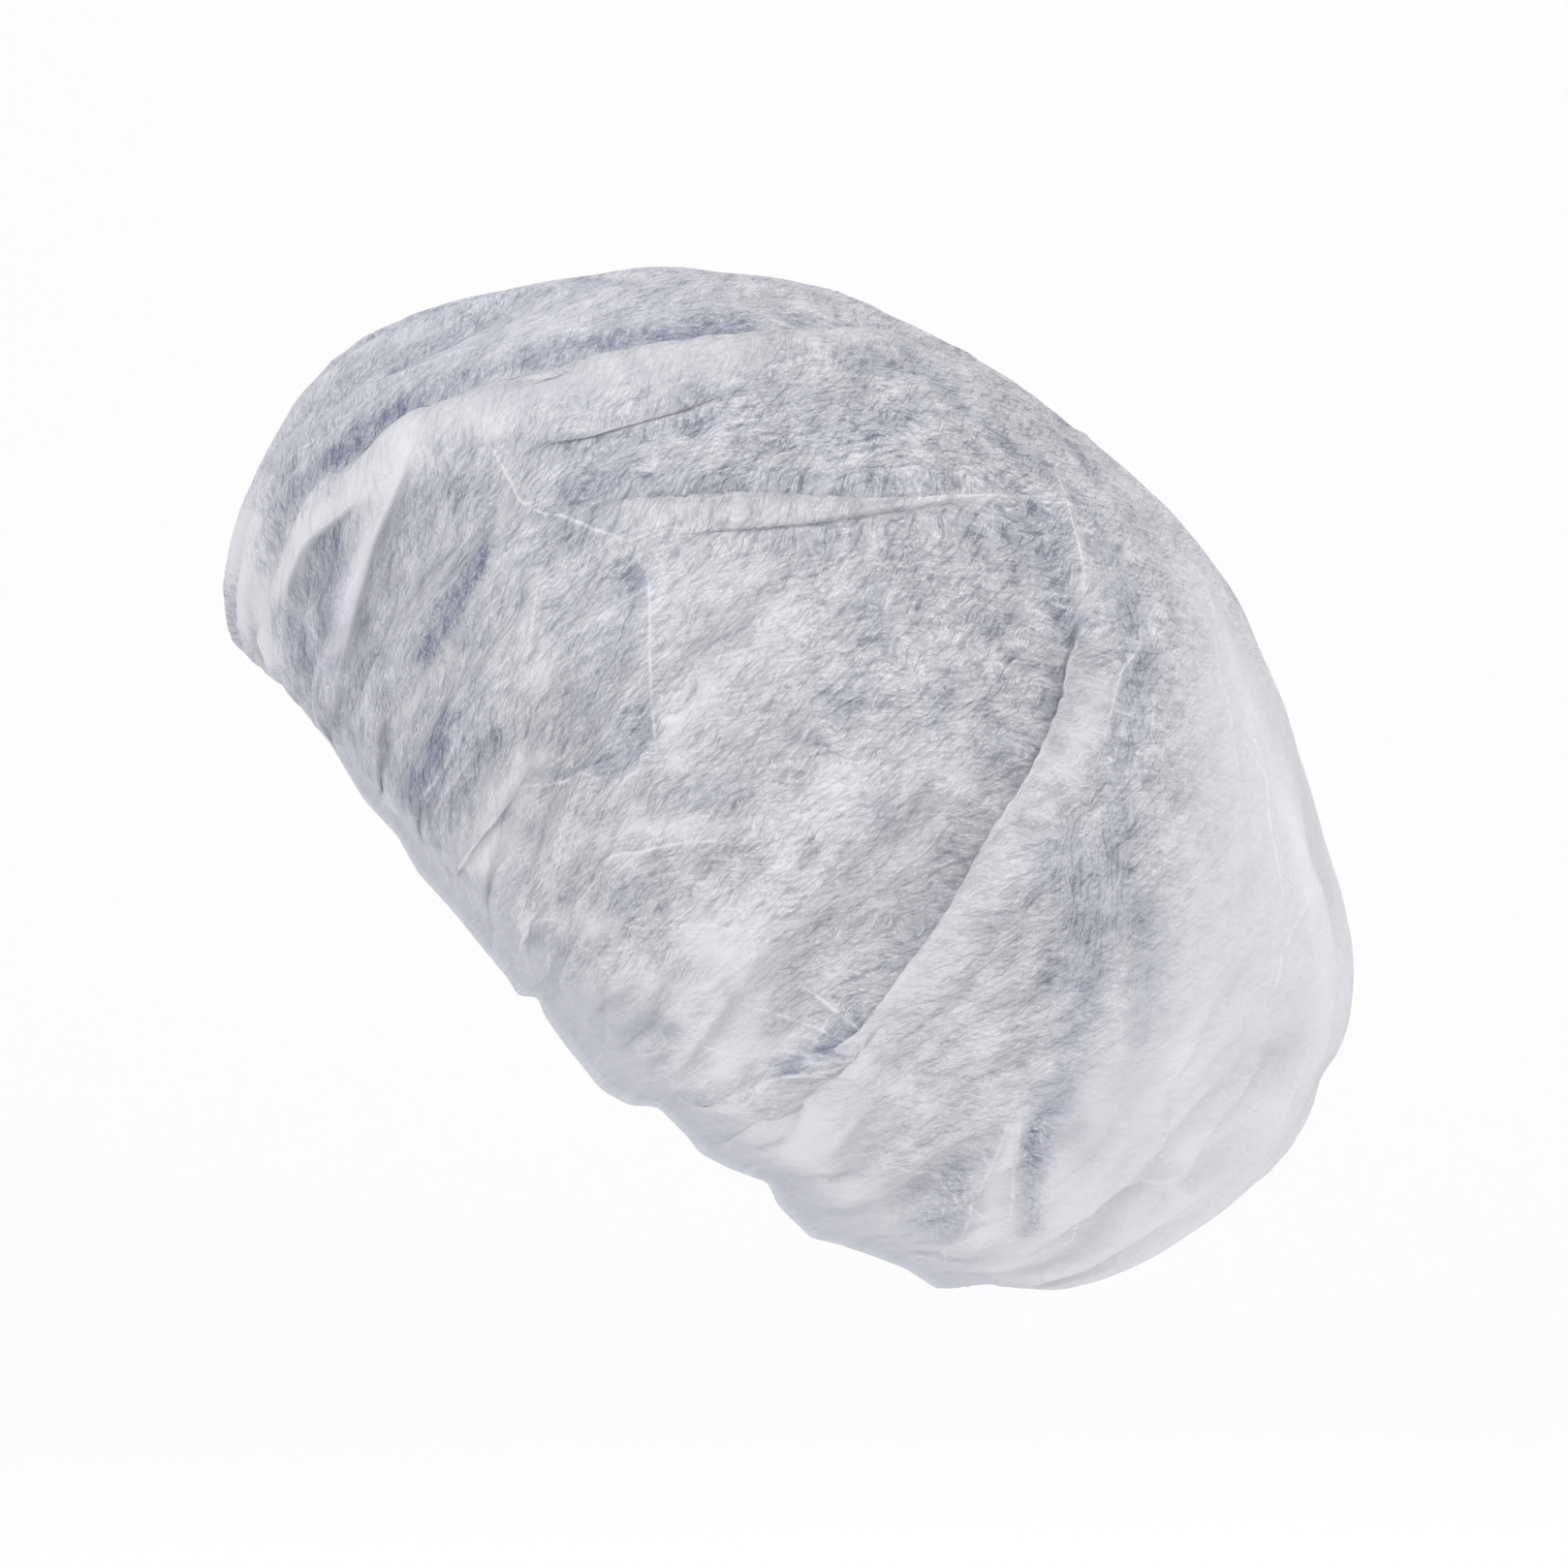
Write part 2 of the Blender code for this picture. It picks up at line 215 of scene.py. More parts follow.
# The deepest places between two gathers, in degrees round the opening
NOTCHES = (
    3, 16, 27, 40, 48, 56, 67, 75, 83, 91, 100, 108, 117, 125, 133, 142, 151, 162,
    173, 184, 196, 205, 216, 227, 236, 247, 256, 266, 275, 286, 295, 306, 317, 328, 338, 349,
)
# Where the edge hangs lower or higher than the elastic's line: (degrees round the opening, drop in mm)
EDGE_DROPS = (
    (13.5, -1.1), (25, -1.2), (35.5, -1.5), (48, 0.1), (56, -0.8), (62, 0.8), (67.5, 0.4), (71, 0.5),
    (79.5, 1.4), (82, 2.6), (83.2, -0.7), (85, 1.4), (90, 3.5), (94, 5.0), (97.5, 3.6), (100, -0.1),
    (105, 1.0), (107.5, 2.3), (112, 1.2), (117, -0.8), (120.5, 2.4), (125, 3.9), (127.5, 4.8), (132, 3.1),
    (138.5, 1.9), (146, 1.2), (157.5, 2.3), (171, -0.9), (190, 1.5), (200, -0.6), (212, 3.0), (222, 0.4),
    (233, 4.2), (243, -0.5), (252, 2.6), (262, 0.3), (270, 4.0), (277, -0.6), (287, 2.0), (298, 0.2),
    (308, 1.2), (320, -0.8), (333, 0.6), (348, -1.0),
)
# The channel's section from its cut edge, down inside, round the fold and up outside: (side, height, ripple)
HEM_SECTION = np.array((
    (-0.70, 0.0079, 0.4), (-0.95, 0.0064, 0.1), (-1.0, 0.0048, 0.0), (-1.0, 0.0030, 0.0),
    (-0.95, 0.0014, 0.0), (-0.62, 0.0003, 0.0), (0.0, -0.0002, 0.0), (0.62, 0.0003, 0.0), (0.95, 0.0014, 0.0),
    (1.0, 0.0030, 0.2), (1.0, 0.0050, 0.6), (1.0, 0.0068, 0.85), (1.0, HEM_HEIGHT, 1.0),
))


def gather_phase(angle):
    """How many notches lie before each angle, as a number that grows evenly between two of them."""
    turns = np.concatenate([NOTCHES, [NOTCHES[0] + 360]])
    degrees = np.mod(np.degrees(angle) - NOTCHES[0], 360) + NOTCHES[0]
    return np.interp(degrees, turns, np.arange(len(turns)))


def gather_wave(angle, share=1.0):
    """A wave with its lows in the notches, or in every second or fourth notch where share is 1/2 or 1/4."""
    return -np.cos(2 * np.pi * share * gather_phase(angle))


def edge_drop(angle):
    """How far the edge hangs below the elastic's line: straight between the listed drops, then the mean of
    seven places near each, which rounds the corners."""
    degrees, drops = np.array(EDGE_DROPS).T
    steps = np.linspace(-DROP_ROUNDING, DROP_ROUNDING, 7)
    near = [np.interp(np.degrees(angle) + step, degrees, drops, period=360) for step in steps]
    return np.mean(near, axis=0) / 1000


def unit(vectors):
    """Vectors with the same directions and a length of 1."""
    return vectors / np.maximum(np.linalg.norm(vectors, axis=-1, keepdims=True), 1e-12)


def opening_normal(angle):
    """The level direction out of the opening's oval: square to its tangent, taken from two near points."""
    step = 0.01
    tangent = opening_ring(angle + step, 0, 0) - opening_ring(angle - step, 0, 0)
    return unit(np.stack([tangent[..., 1], -tangent[..., 0], np.zeros(tangent.shape[:-1])], axis=-1))


def cubic(t, start, leaving, end, arriving):
    """The cubic from start at t = 0 to end at t = 1, which has the slopes leaving and arriving there."""
    return (
        (2 * t**3 - 3 * t**2 + 1) * start + (t**3 - 2 * t**2 + t) * leaving
        + (3 * t**2 - 2 * t**3) * end + (t**3 - t**2) * arriving
    )


def smooth_through(values, count):
    """A smooth curve through equally spaced rows: cubics whose slope at a row joins its two neighbours."""
    values = np.asarray(values, float)
    slopes = np.gradient(values, axis=0)
    place = np.linspace(0, len(values) - 1, count)
    row = np.minimum(place.astype(int), len(values) - 2)
    return cubic((place - row)[:, None], values[row], slopes[row], values[row + 1], slopes[row + 1])


def hem_points(section, angle):
    """The section carried round: out by its side and ripple, rippled by the gathers, and hung by the drop.
    The fine ribs are a sine of the gathers' phase, whose spacing varies five times round."""
    side, height, ripple = section.T[:, :, None]
    scallop = 1 + gather_wave(angle)[None]
    phase = HEM_RIBS_A_GATHER * 2 * np.pi * gather_phase(angle) + 2 * np.sin(5 * angle)
    rib = HEM_RIB_DEPTH * np.sin(phase)[None]
    points = opening_ring(angle[None], side * HEM_LEG_OFFSET + ripple * HEM_LEAN, height)
    wave = ripple * GATHER_DEPTH * scallop + (0.3 + ripple) * rib
    points += wave[..., None] * opening_normal(angle)[None]
    points[..., 2] -= edge_drop(angle)[None] * (1 - height / HEM_HEIGHT * HEM_TOP_HOLD)
    return points


# Spunbond cloth, for the hem and the crown: white polypropylene fibres laid at random and welded at points.
# One layer is so thin that it looks grey, streaked by its thicker fibres. Folds and doubled parts look white.
CLOTH_THIN = (0.202, 0.205, 0.238, 1)
CLOTH_COOL = (0.171, 0.182, 0.270, 1)
CLOTH_WHITE = (0.800, 0.802, 0.832, 1)
# Directions in which the fibres lie: turn in radians, threads a metre along and across. The point value grain
# chooses between them: 0 for the first, 1 for the second and -1 for the third, with some of each everywhere.
FIBRE_RUNS = ((-0.37, 120.0, 1000.0), (0.72, 130.0, 1060.0), (-0.95, 120.0, 1020.0))
FIBRE_SPLAY = 0.30
FIBRE_BEND = 0.004
FIBRES_EVERYWHERE = 0.28
FIBRES_CHOSEN = 0.60
# The cloth's broader unevenness: turn in radians, cells a metre along and across, detail, roughness
CLOUDS = (0.2, 55.0, 120.0, 3.0, 0.6)
CLUMPS = (-0.5, 150.0, 380.0, 2.0, 0.5)
# What the tone starts from, and how strongly the veil with its painted shade, the fibres, the unevenness and
# the painted highlights along folds change it
TONE_START = 0.92
TONE_VEIL = -0.72
TONE_FIBRES = 0.95
TONE_CLOUDS = 1.25
TONE_CLUMPS = 0.60
TONE_LINES = 0.8
CALMING = -0.8
SHINE_THROUGH = 0.35
# Thin painted highlights along folds and creases are kept in this many sets, so that two that lie close
# together don't share one
FOLD_SETS = 4


def turned_noise(tree, uv, turn, along, across, detail, roughness):
    """Noise drawn out in one direction of the cut: its cells a metre along and across a line at that turn."""
    place = add_node(
        tree, "Mapping", {"Vector": uv, "Rotation": (0, 0, turn), "Scale": (1 / along, 1 / across, 1)},
        vector_type="TEXTURE",
    ).outputs["Vector"]
    inputs = {"Vector": place, "Scale": 1.0, "Detail": detail, "Roughness": roughness}
    return add_node(tree, "TexNoise", inputs).outputs["Fac"]


def point_value(tree, name, output="Fac"):
    """A value that every point of the piece has, by its name."""
    return add_node(tree, "Attribute", attribute_name=name).outputs[output]


def fibre_streaks(tree, uv):
    """Threads in three directions on a gently bent map of the cut cloth. Each direction is the sum of two
    drawn-out noises, turned a little to either side of it, less 1; a thread shows bright where the first
    noise is 1/2."""
    bend = add_node(tree, "TexNoise", {"Vector": uv, "Scale": 120.0, "Detail": 1.0}).outputs["Color"]
    bend = add_node(tree, "VectorMath", {0: bend, 1: (0.5, 0.5, 0.5)}, operation="SUBTRACT").outputs[0]
    bend = add_node(tree, "VectorMath", {0: bend, "Scale": FIBRE_BEND}, operation="SCALE").outputs[0]
    bent = add_node(tree, "VectorMath", {0: uv, 1: bend}, operation="ADD").outputs[0]
    grain = point_value(tree, "grain")
    second = calculate(tree, "MAXIMUM", grain, 0.0)
    third = calculate(tree, "MAXIMUM", calculate(tree, "MULTIPLY", grain, -1.0), 0.0)
    first = calculate(tree, "SUBTRACT", calculate(tree, "SUBTRACT", 1.0, second), third)
    total = 0.0
    for (turn, along, across), share in zip(FIBRE_RUNS, (first, second, third)):
        one = turned_noise(tree, bent, turn + FIBRE_SPLAY, along, across, 2.0, 0.7)
        other = turned_noise(tree, bent, turn - FIBRE_SPLAY, along * 1.15, across * 1.1, 2.0, 0.7)
        crossing = calculate(tree, "ABSOLUTE", calculate(tree, "SUBTRACT", one, 0.5))
        thread = spread(tree, crossing, 0.0, 0.03, 0.36, -0.08)
        both = calculate(tree, "ADD", one, other)
        both = calculate(tree, "ADD", both, calculate(tree, "SUBTRACT", thread, 1.0))
        weight = calculate(tree, "MULTIPLY_ADD", share, FIBRES_CHOSEN, FIBRES_EVERYWHERE)
        total = calculate(tree, "MULTIPLY_ADD", both, weight, total)
    return total


def fold_highlights(tree, uv):
    """Painted highlights along folds and creases: each set's brightness times a bell of its distance."""
    total = 0.0
    for number in range(FOLD_SETS):
        pair = point_value(tree, f"folds_{number}", "Vector")
        parts = add_node(tree, "SeparateXYZ", {"Vector": pair}).outputs
        far = calculate(tree, "MULTIPLY", parts["X"], 3.0)
        square = calculate(tree, "MULTIPLY", far, far)
        bell = calculate(tree, "EXPONENT", calculate(tree, "MULTIPLY", square, -1.0))
        total = calculate(tree, "MULTIPLY_ADD", bell, parts["Y"], total)
    broken = add_node(tree, "TexNoise", {"Vector": uv, "Scale": 330.0, "Detail": 3.0}).outputs["Fac"]
    return calculate(tree, "MULTIPLY", total, spread(tree, broken, 0.36, 0.62, 0.35, 1.05))


def make_spunbond(name, contrast, tint):
    """The cloth's finish. The point value veil says how thin it lies, 1 for one taut layer and 0 for folds,
    and also carries painted shadow beside laps and painted shade and light from strokes; calm says how faint
    its streaks are, and cool how blue its thin places look. The tone falls with the veil, rises with the
    fibres and the painted highlights along folds and creases, and runs from the thin cloth's grey to white."""
    material, tree = new_material(name)
    uv = add_node(tree, "UVMap", uv_map="Cut").outputs["UV"]
    fibres = fibre_streaks(tree, uv)
    # The painted highlights along folds and creases
    lines = fold_highlights(tree, uv)
    stir = calculate(tree, "MULTIPLY_ADD", point_value(tree, "calm"), CALMING, contrast)
    cloud, clump = turned_noise(tree, uv, *CLOUDS), turned_noise(tree, uv, *CLUMPS)
    patch = calculate(tree, "MULTIPLY", calculate(tree, "SUBTRACT", cloud, 0.5), TONE_CLOUDS)
    patch = calculate(tree, "MULTIPLY_ADD", calculate(tree, "SUBTRACT", clump, 0.5), TONE_CLUMPS, patch)
    # How thin the cloth lies, with the painted shadow and the strokes' painted shade and light that the veil
    # carries
    thin = calculate(tree, "MULTIPLY_ADD", patch, stir, point_value(tree, "veil"))
    light = calculate(tree, "MULTIPLY", fibres, TONE_FIBRES)
    tone = calculate(tree, "MULTIPLY_ADD", thin, TONE_VEIL, TONE_START)
    tone = calculate(tree, "MULTIPLY_ADD", light, stir, tone)
    tone = calculate(tree, "MULTIPLY_ADD", lines, TONE_LINES, tone, clamp=True)
    grey = mixed(tree, point_value(tree, "cool"), CLOTH_THIN, CLOTH_COOL)
    colour = mixed(tree, 1.0, mixed(tree, tone, grey, CLOTH_WHITE), tint, "MULTIPLY")
    crumple = add_node(tree, "TexNoise", {"Vector": uv, "Scale": 230.0, "Detail": 3.0, "Roughness": 0.5})
    height = calculate(tree, "MULTIPLY_ADD", lines, 0.6, crumple.outputs["Fac"])
    bump = add_node(tree, "Bump", {"Height": height, "Strength": 0.5, "Distance": 0.0008}).outputs["Normal"]
    front = add_node(
        tree, "BsdfPrincipled",
        {"Base Color": colour, "Roughness": 0.62, "Specular IOR Level": 0.25, "Sheen Weight": 0.15,
         "Sheen Roughness": 0.5, "Normal": bump},
    ).outputs["BSDF"]
    through = add_node(tree, "BsdfTranslucent", {"Color": colour, "Normal": bump}).outputs["BSDF"]
    cloth = add_node(tree, "MixShader", {"Fac": SHINE_THROUGH, 1: front, 2: through}).outputs[0]
    add_node(tree, "OutputMaterial", {"Surface": cloth})
    return material


def flat_cut(radius, angle):
    """Where a ring of the cloth lies on the flat disc, in metres: a circle, with the front at the bottom."""
    return radius[:, None, None] * np.stack([np.sin(angle), -np.cos(angle)], axis=-1)


def make_hem():
    """The channel's rounded section carried round the opening; its cut runs on from the crown's edge, by the
    mean length of the section that lies between."""
    angle = np.arange(COLUMNS) * 2 * np.pi / COLUMNS
    points = hem_points(smooth_through(HEM_SECTION, HEM_ROWS) * (1, 1, HEM_SLACK), angle)
    deep = np.linalg.norm(np.diff(points, axis=0), axis=-1).mean(axis=1)
    radius = CROWN_RADIUS + np.concatenate([np.cumsum(deep[::-1])[::-1], [0.0]])
    cloth = make_spunbond("turned_spunbond", 0.9, HEM_TINT)
    piece = add_surface("turned_hem", points, cloth, flat_cut(radius, angle).reshape(-1, 2))
    for name, value in HEM_TONES.items():
        set_points(piece, name, np.full(HEM_ROWS * COLUMNS, value))
    return piece


hem = make_hem()
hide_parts("hem_casing")
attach(hem, "root")


# The crown: one flat disc of spunbond cloth, 533 mm across and a tenth of a millimetre thick, gathered at its
# edge and puffed out into a bag. Its shape is worked out in three steps: a smooth bag through the sections
# below, a cloth relaxed over that bag until each thread has its length again, and the sharp folds on top.
TIP_RADIUS = 0.004
CLOTH_SHARE = 1 - TIP_RADIUS / CROWN_RADIUS
BAG_FRONT_REACH = 0.147
BAG_BACK_REACH = 0.137
BAG_HALF_WIDTH = 0.110
CROWN_HEIGHT = 0.165
CROWN_TINT = (1.0, 1.0, 1.0, 1)
# (share of the way up the cloth, flare, front, side, back, front height, side height, back height)
BAG_SECTIONS = np.array((
    (0.00, 0.00, 1.000, 1.000, 1.000, 0.000, 0.000, 0.000),
    (0.05, 0.30, 0.966, 0.992, 0.989, -0.028, -0.005, 0.029),
    (0.10, 0.55, 0.966, 0.988, 0.993, 0.010, 0.045, 0.103),
    (0.20, 0.90, 0.966, 0.978, 0.980, 0.167, 0.172, 0.266),
    (0.30, 1.00, 0.984, 0.995, 0.993, 0.341, 0.315, 0.424),
    (0.40, 1.00, 0.950, 0.990, 0.963, 0.501, 0.468, 0.582),
    (0.50, 1.00, 0.840, 0.922, 0.855, 0.633, 0.608, 0.709),
    (0.60, 1.00, 0.711, 0.805, 0.690, 0.758, 0.730, 0.812),
    (0.70, 1.00, 0.565, 0.650, 0.518, 0.867, 0.832, 0.900),
    (0.80, 1.00, 0.405, 0.455, 0.328, 0.941, 0.912, 0.964),
    (0.90, 1.00, 0.228, 0.238, 0.142, 0.985, 0.972, 0.993),
    (1.00, 1.00, 0.054, 0.000, -0.058, 1.000, 1.000, 1.000),
))
# The broad folds and dents that the bag starts with, each a straight line on the flat cloth: degrees and
# share up at its start, the same at its end, width and push in mm
BROAD_FOLDS = (
    (108, 0.21, 111, 0.75, 9, 6.5), (101, 0.22, 103, 0.66, 11, -6), (108, 0.21, 101, 0.05, 8, 3.6),
    (57, 0.355, 85, 0.67, 7, 3), (85, 0.67, 112, 0.86, 7, 3), (60, 0.37, 84, 0.245, 7, 3),
    (27, 0.18, 36, 0.39, 16, 4.8), (36, 0.39, 42, 0.68, 16, 4.8), (20, 0.27, 24, 0.50, 13, -4.8),
    (46, 0.17, 50, 0.33, 12, -5.4), (70, 0.11, 76, 0.21, 12, -4.8), (125, 0.22, 146, 0.09, 7, 3),
    (117, 0.11, 150, 0.12, 8, -3.6), (152, 0.385, 206, 0.365, 7, -4.8), (163, 0.50, 170, 0.72, 15, -3.6),
    (247, 0.17, 238, 0.70, 10, 5.4), (256, 0.19, 248, 0.62, 11, -5.4), (236, 0.80, 300, 0.42, 8, 3),
    (300, 0.42, 279, 0.22, 8, 3), (330, 0.20, 322, 0.62, 15, 4.2), (309, 0.15, 314, 0.34, 12, -5.4),
    (232, 0.22, 212, 0.08, 8, 3.6),
)


def bag_column(column, up):
    """A column of the sections at each height: a cubic between two rows, with their central slopes."""
    ups, values = BAG_SECTIONS[:, 0], BAG_SECTIONS[:, column]
    slopes = np.gradient(values, ups)
    row = np.clip(np.searchsorted(ups, up, side="right") - 1, 0, len(ups) - 2)
    step = ups[row + 1] - ups[row]
    t = (up - ups[row]) / step
    return cubic(t, values[row], step * slopes[row], values[row + 1], step * slopes[row + 1])


def bag_points(angle, up):
    """The smooth bag: a squared oval at each height, which reaches front, side and back by the sections."""
    flare = bag_column(1, up)
    lip = HEM_LEG_OFFSET + HEM_LEAN + GATHER_DEPTH
    reaches = []
    for column, opening, bag in (
        (2, OPENING_HALF_LENGTH, BAG_FRONT_REACH),
        (3, OPENING_HALF_WIDTH, BAG_HALF_WIDTH),
        (4, OPENING_HALF_LENGTH, BAG_BACK_REACH),
    ):
        reaches.append(bag_column(column, up) * (opening + lip + (bag - opening - lip) * flare))
    front, side, back = reaches
    heights = [bag_column(column, up) * CROWN_HEIGHT + HEM_HEIGHT * (1 - flare) for column in (5, 6, 7)]
    along = -squared(np.cos(angle))
    end_height = np.where(along < 0, heights[0], heights[2])
    z = heights[1] + (end_height - heights[1]) * np.cos(angle) ** 2 - side_dip(angle) * (1 - flare)
    y = (back - front) / 2 + (back + front) / 2 * along
    return np.stack([side * squared(np.sin(angle)), y, z], axis=-1)


def grid_normals(points):
    """Outward normals of a grid: the cross product of its slopes round and up."""
    round_way = np.roll(points, -1, axis=1) - np.roll(points, 1, axis=1)
    return unit(np.cross(round_way, np.gradient(points, axis=0)))


def push_along_lines(points, lines):
    """The sum of rounded ridges: each line's push, less at its ends, times a bell of the distance to it."""
    push = np.zeros(points.shape[:2])
    steps = np.linspace(0, 1, 25)
    for start, start_up, end, end_up, width, depth in lines:
        line = bag_points(np.radians(start + (end - start) * steps), start_up + (end_up - start_up) * steps)
        apart = np.linalg.norm(points[:, :, None] - line, axis=-1)
        taper = 0.35 + 0.65 * np.sin(np.pi * steps[apart.argmin(axis=-1)])
        push += depth / 1000 * taper * np.exp(-((apart.min(axis=-1) * 1000 / width) ** 2))
    return push


def eased(share):
    """A share from 0 to 1 that starts and ends gently: its square times three less twice itself."""
    return share * share * (3 - 2 * share)


def between_points(grid, low, left, rise, over):
    """Values of a grid that is closed round, at shares of the way from a row and a column to the next."""
    right = (left + 1) % grid.shape[1]
    lower = grid[low, left] * (1 - over) + grid[low, right] * over
    upper = grid[low + 1, left] * (1 - over) + grid[low + 1, right] * over
    return lower * (1 - rise) + upper * rise


def smooth_noise(shape, cells, draw):
    """Random values on a coarse grid, closed round, joined by smooth steps."""
    table = draw.standard_normal((cells[0] + 2, cells[1]))
    row = np.linspace(0, cells[0], shape[0])[:, None]
    column = np.linspace(0, cells[1], shape[1], endpoint=False)[None]
    low, left = row.astype(int), column.astype(int)
    return between_points(table, low, left, eased(row - low), eased(column - left))


# The relaxing: rows of the coarse cloth, sweeps, how strongly threads of each reach stay straight, the drift
# that a sweep keeps of the last one's, and how much of what has left the room a sweep brings back
COARSE_ROWS = 76
COARSE_SWEEPS = 150
COARSE_STIFFNESS = ((2, 0.012), (4, 0.008))
FINE_SWEEPS = 40
FINE_STIFFNESS = ((2, 0.008),)
DRIFT_KEPT = 0.9
ROOM_RETURN = 0.2
# What it starts from: the heights of the gathers' three waves, and sets of uneven cells, each with its height
WAVE_HEIGHTS = (0.0008, 0.0014, 0.0020)
COARSE_CELLS = (((14, 60), 0.0006), ((28, 120), 0.0003), ((7, 24), 0.001))
FINE_CELLS = (((60, 240), 0.0002), ((110, 480), 0.0001), ((30, 120), 0.0003))
# How much of the relaxed waves stays at the hem, and from which length up the cloth all of it does
GATHER_SHARE = 0.6
GATHER_LENGTH = 0.05


def move_pairs(first, second, rest, share, only_apart):
    """Moves two sets of points by share of the way to lie rest apart, half each, or only outwards."""
    between = second - first
    length = np.sqrt((between * between).sum(axis=-1))
    part = 1 - rest / np.maximum(length, 1e-9)
    if only_apart:
        part = np.minimum(part, 0)
    move = (share * 0.5 * part)[..., None] * between
    first += move
    second -= move


def pull_round(cloth, rest, reach, share, only_apart=False):
    """Every pair of points that lie reach columns apart, in two turns that share no point."""
    rows, columns = cloth.shape[:2]
    total = sum(np.roll(rest, -k, axis=1) for k in range(reach)) if reach > 1 else rest
    for start in (0, reach):
        turned = np.roll(cloth, -start, axis=1)
        blocks = turned.reshape(rows, columns // (2 * reach), 2 * reach, 3)
        lengths = np.roll(total, -start, axis=1).reshape(rows, columns // (2 * reach), 2 * reach)
        move_pairs(blocks[:, :, :reach], blocks[:, :, reach:], lengths[:, :, :reach], share, only_apart)
        cloth[:] = np.roll(turned, start, axis=1)


def pull_up(cloth, rest, reach, share, only_apart=False):
    """Every pair of points that lie reach rows apart, in two turns that share no point."""
    ends = np.concatenate([np.zeros((1, cloth.shape[1])), np.cumsum(rest, axis=0)])
    total = ends[reach:] - ends[:-reach]
    rows = np.arange(cloth.shape[0] - reach)
    for start in (0, reach):
        low = rows[((rows - start) % (2 * reach) < reach) & (rows >= start)]
        first, second = cloth[low], cloth[low + reach]
        move_pairs(first, second, total[low], share, only_apart)
        cloth[low], cloth[low + reach] = first, second


def pull_across(cloth, rests, share):
    """Both diagonals of every cell, in turns that share no point."""
    for side, rest in zip((-1, 1), rests):
        for start in (0, 1):
            low = np.arange(start, cloth.shape[0] - 1, 2)
            first, second = cloth[low], np.roll(cloth[low + 1], side, axis=1)
            move_pairs(first, second, rest[low], share, False)
            cloth[low], cloth[low + 1] = first, np.roll(second, -side, axis=1)


def relax(cloth, bag, sweeps, stiffness):
    """The cloth at rest over a bag: each sweep moves it on by its own drift, gives each thread its length,
    opens tight bends, and brings back what has left the room on either side. The lowest row stays fixed."""
    hem, before = cloth[0].copy(), cloth.copy()
    round_way = np.roll(bag.points, -1, axis=1) - bag.points
    round_way *= (bag.round_rest / np.maximum(np.linalg.norm(round_way, axis=-1), 1e-9))[..., None]
    up_way = np.diff(bag.points, axis=0)
    up_way *= (bag.up_rest / np.maximum(np.linalg.norm(up_way, axis=-1), 1e-9))[..., None]
    across = (
        np.linalg.norm(round_way[:-1] + np.roll(up_way, -1, axis=1), axis=-1),
        np.roll(np.linalg.norm(up_way - round_way[:-1], axis=-1), 1, axis=1),
    )
    for _ in range(sweeps):
        drift = (cloth - before) * DRIFT_KEPT
        before = cloth.copy()
        cloth = cloth + drift
        cloth[0] = hem
        pull_round(cloth, bag.round_rest, 1, 1.0)
        pull_up(cloth, bag.up_rest, 1, 1.0)
        pull_across(cloth, across, 0.5)
        for reach, share in stiffness:
            pull_round(cloth, bag.round_rest, reach, share, only_apart=True)
            pull_up(cloth, bag.up_rest, reach, share, only_apart=True)
        off = ((cloth - bag.points) * bag.normals).sum(axis=-1)
        beyond = off - np.clip(off, -bag.room, 0.9 * bag.room)
        cloth -= (ROOM_RETURN * beyond)[..., None] * bag.normals
        cloth[0] = hem
    return cloth


def refine(cloth):
    """Twice as many rows and columns: a new point lies half way on the cubic through its four neighbours."""
    wide = np.empty((cloth.shape[0], 2 * cloth.shape[1], 3))
    wide[:, 0::2] = cloth
    wide[:, 1::2] = (
        9 * (cloth + np.roll(cloth, -1, axis=1)) - np.roll(cloth, 1, axis=1) - np.roll(cloth, -2, axis=1)
    ) / 16
    longer = np.concatenate([2 * wide[:1] - wide[1:2], wide, 2 * wide[-1:] - wide[-2:-1]])
    tall = np.empty((2 * wide.shape[0] - 1, wide.shape[1], 3))
    tall[0::2] = wide
    tall[1::2] = (9 * (longer[1:-2] + longer[2:-1]) - longer[:-3] - longer[3:]) / 16
    return tall


# How the cloth lies over the bag, by lengths up the cloth in metres: where it leaves the hem's line, how much
# of what a row has to spare its threads keep, and the room on either side of the bag
SETTLE_LENGTH = 0.012
THREAD_SLACK = 0.003
FULLNESS = 0.36
FULLNESS_ABOVE = 0.40
FULLNESS_LENGTH = 0.06
BACK_TIGHTENING = 0.45
ROOM_AT_HEM = 0.0012
ROOM_GAINED = 0.0022
ROOM_LENGTH = 0.04


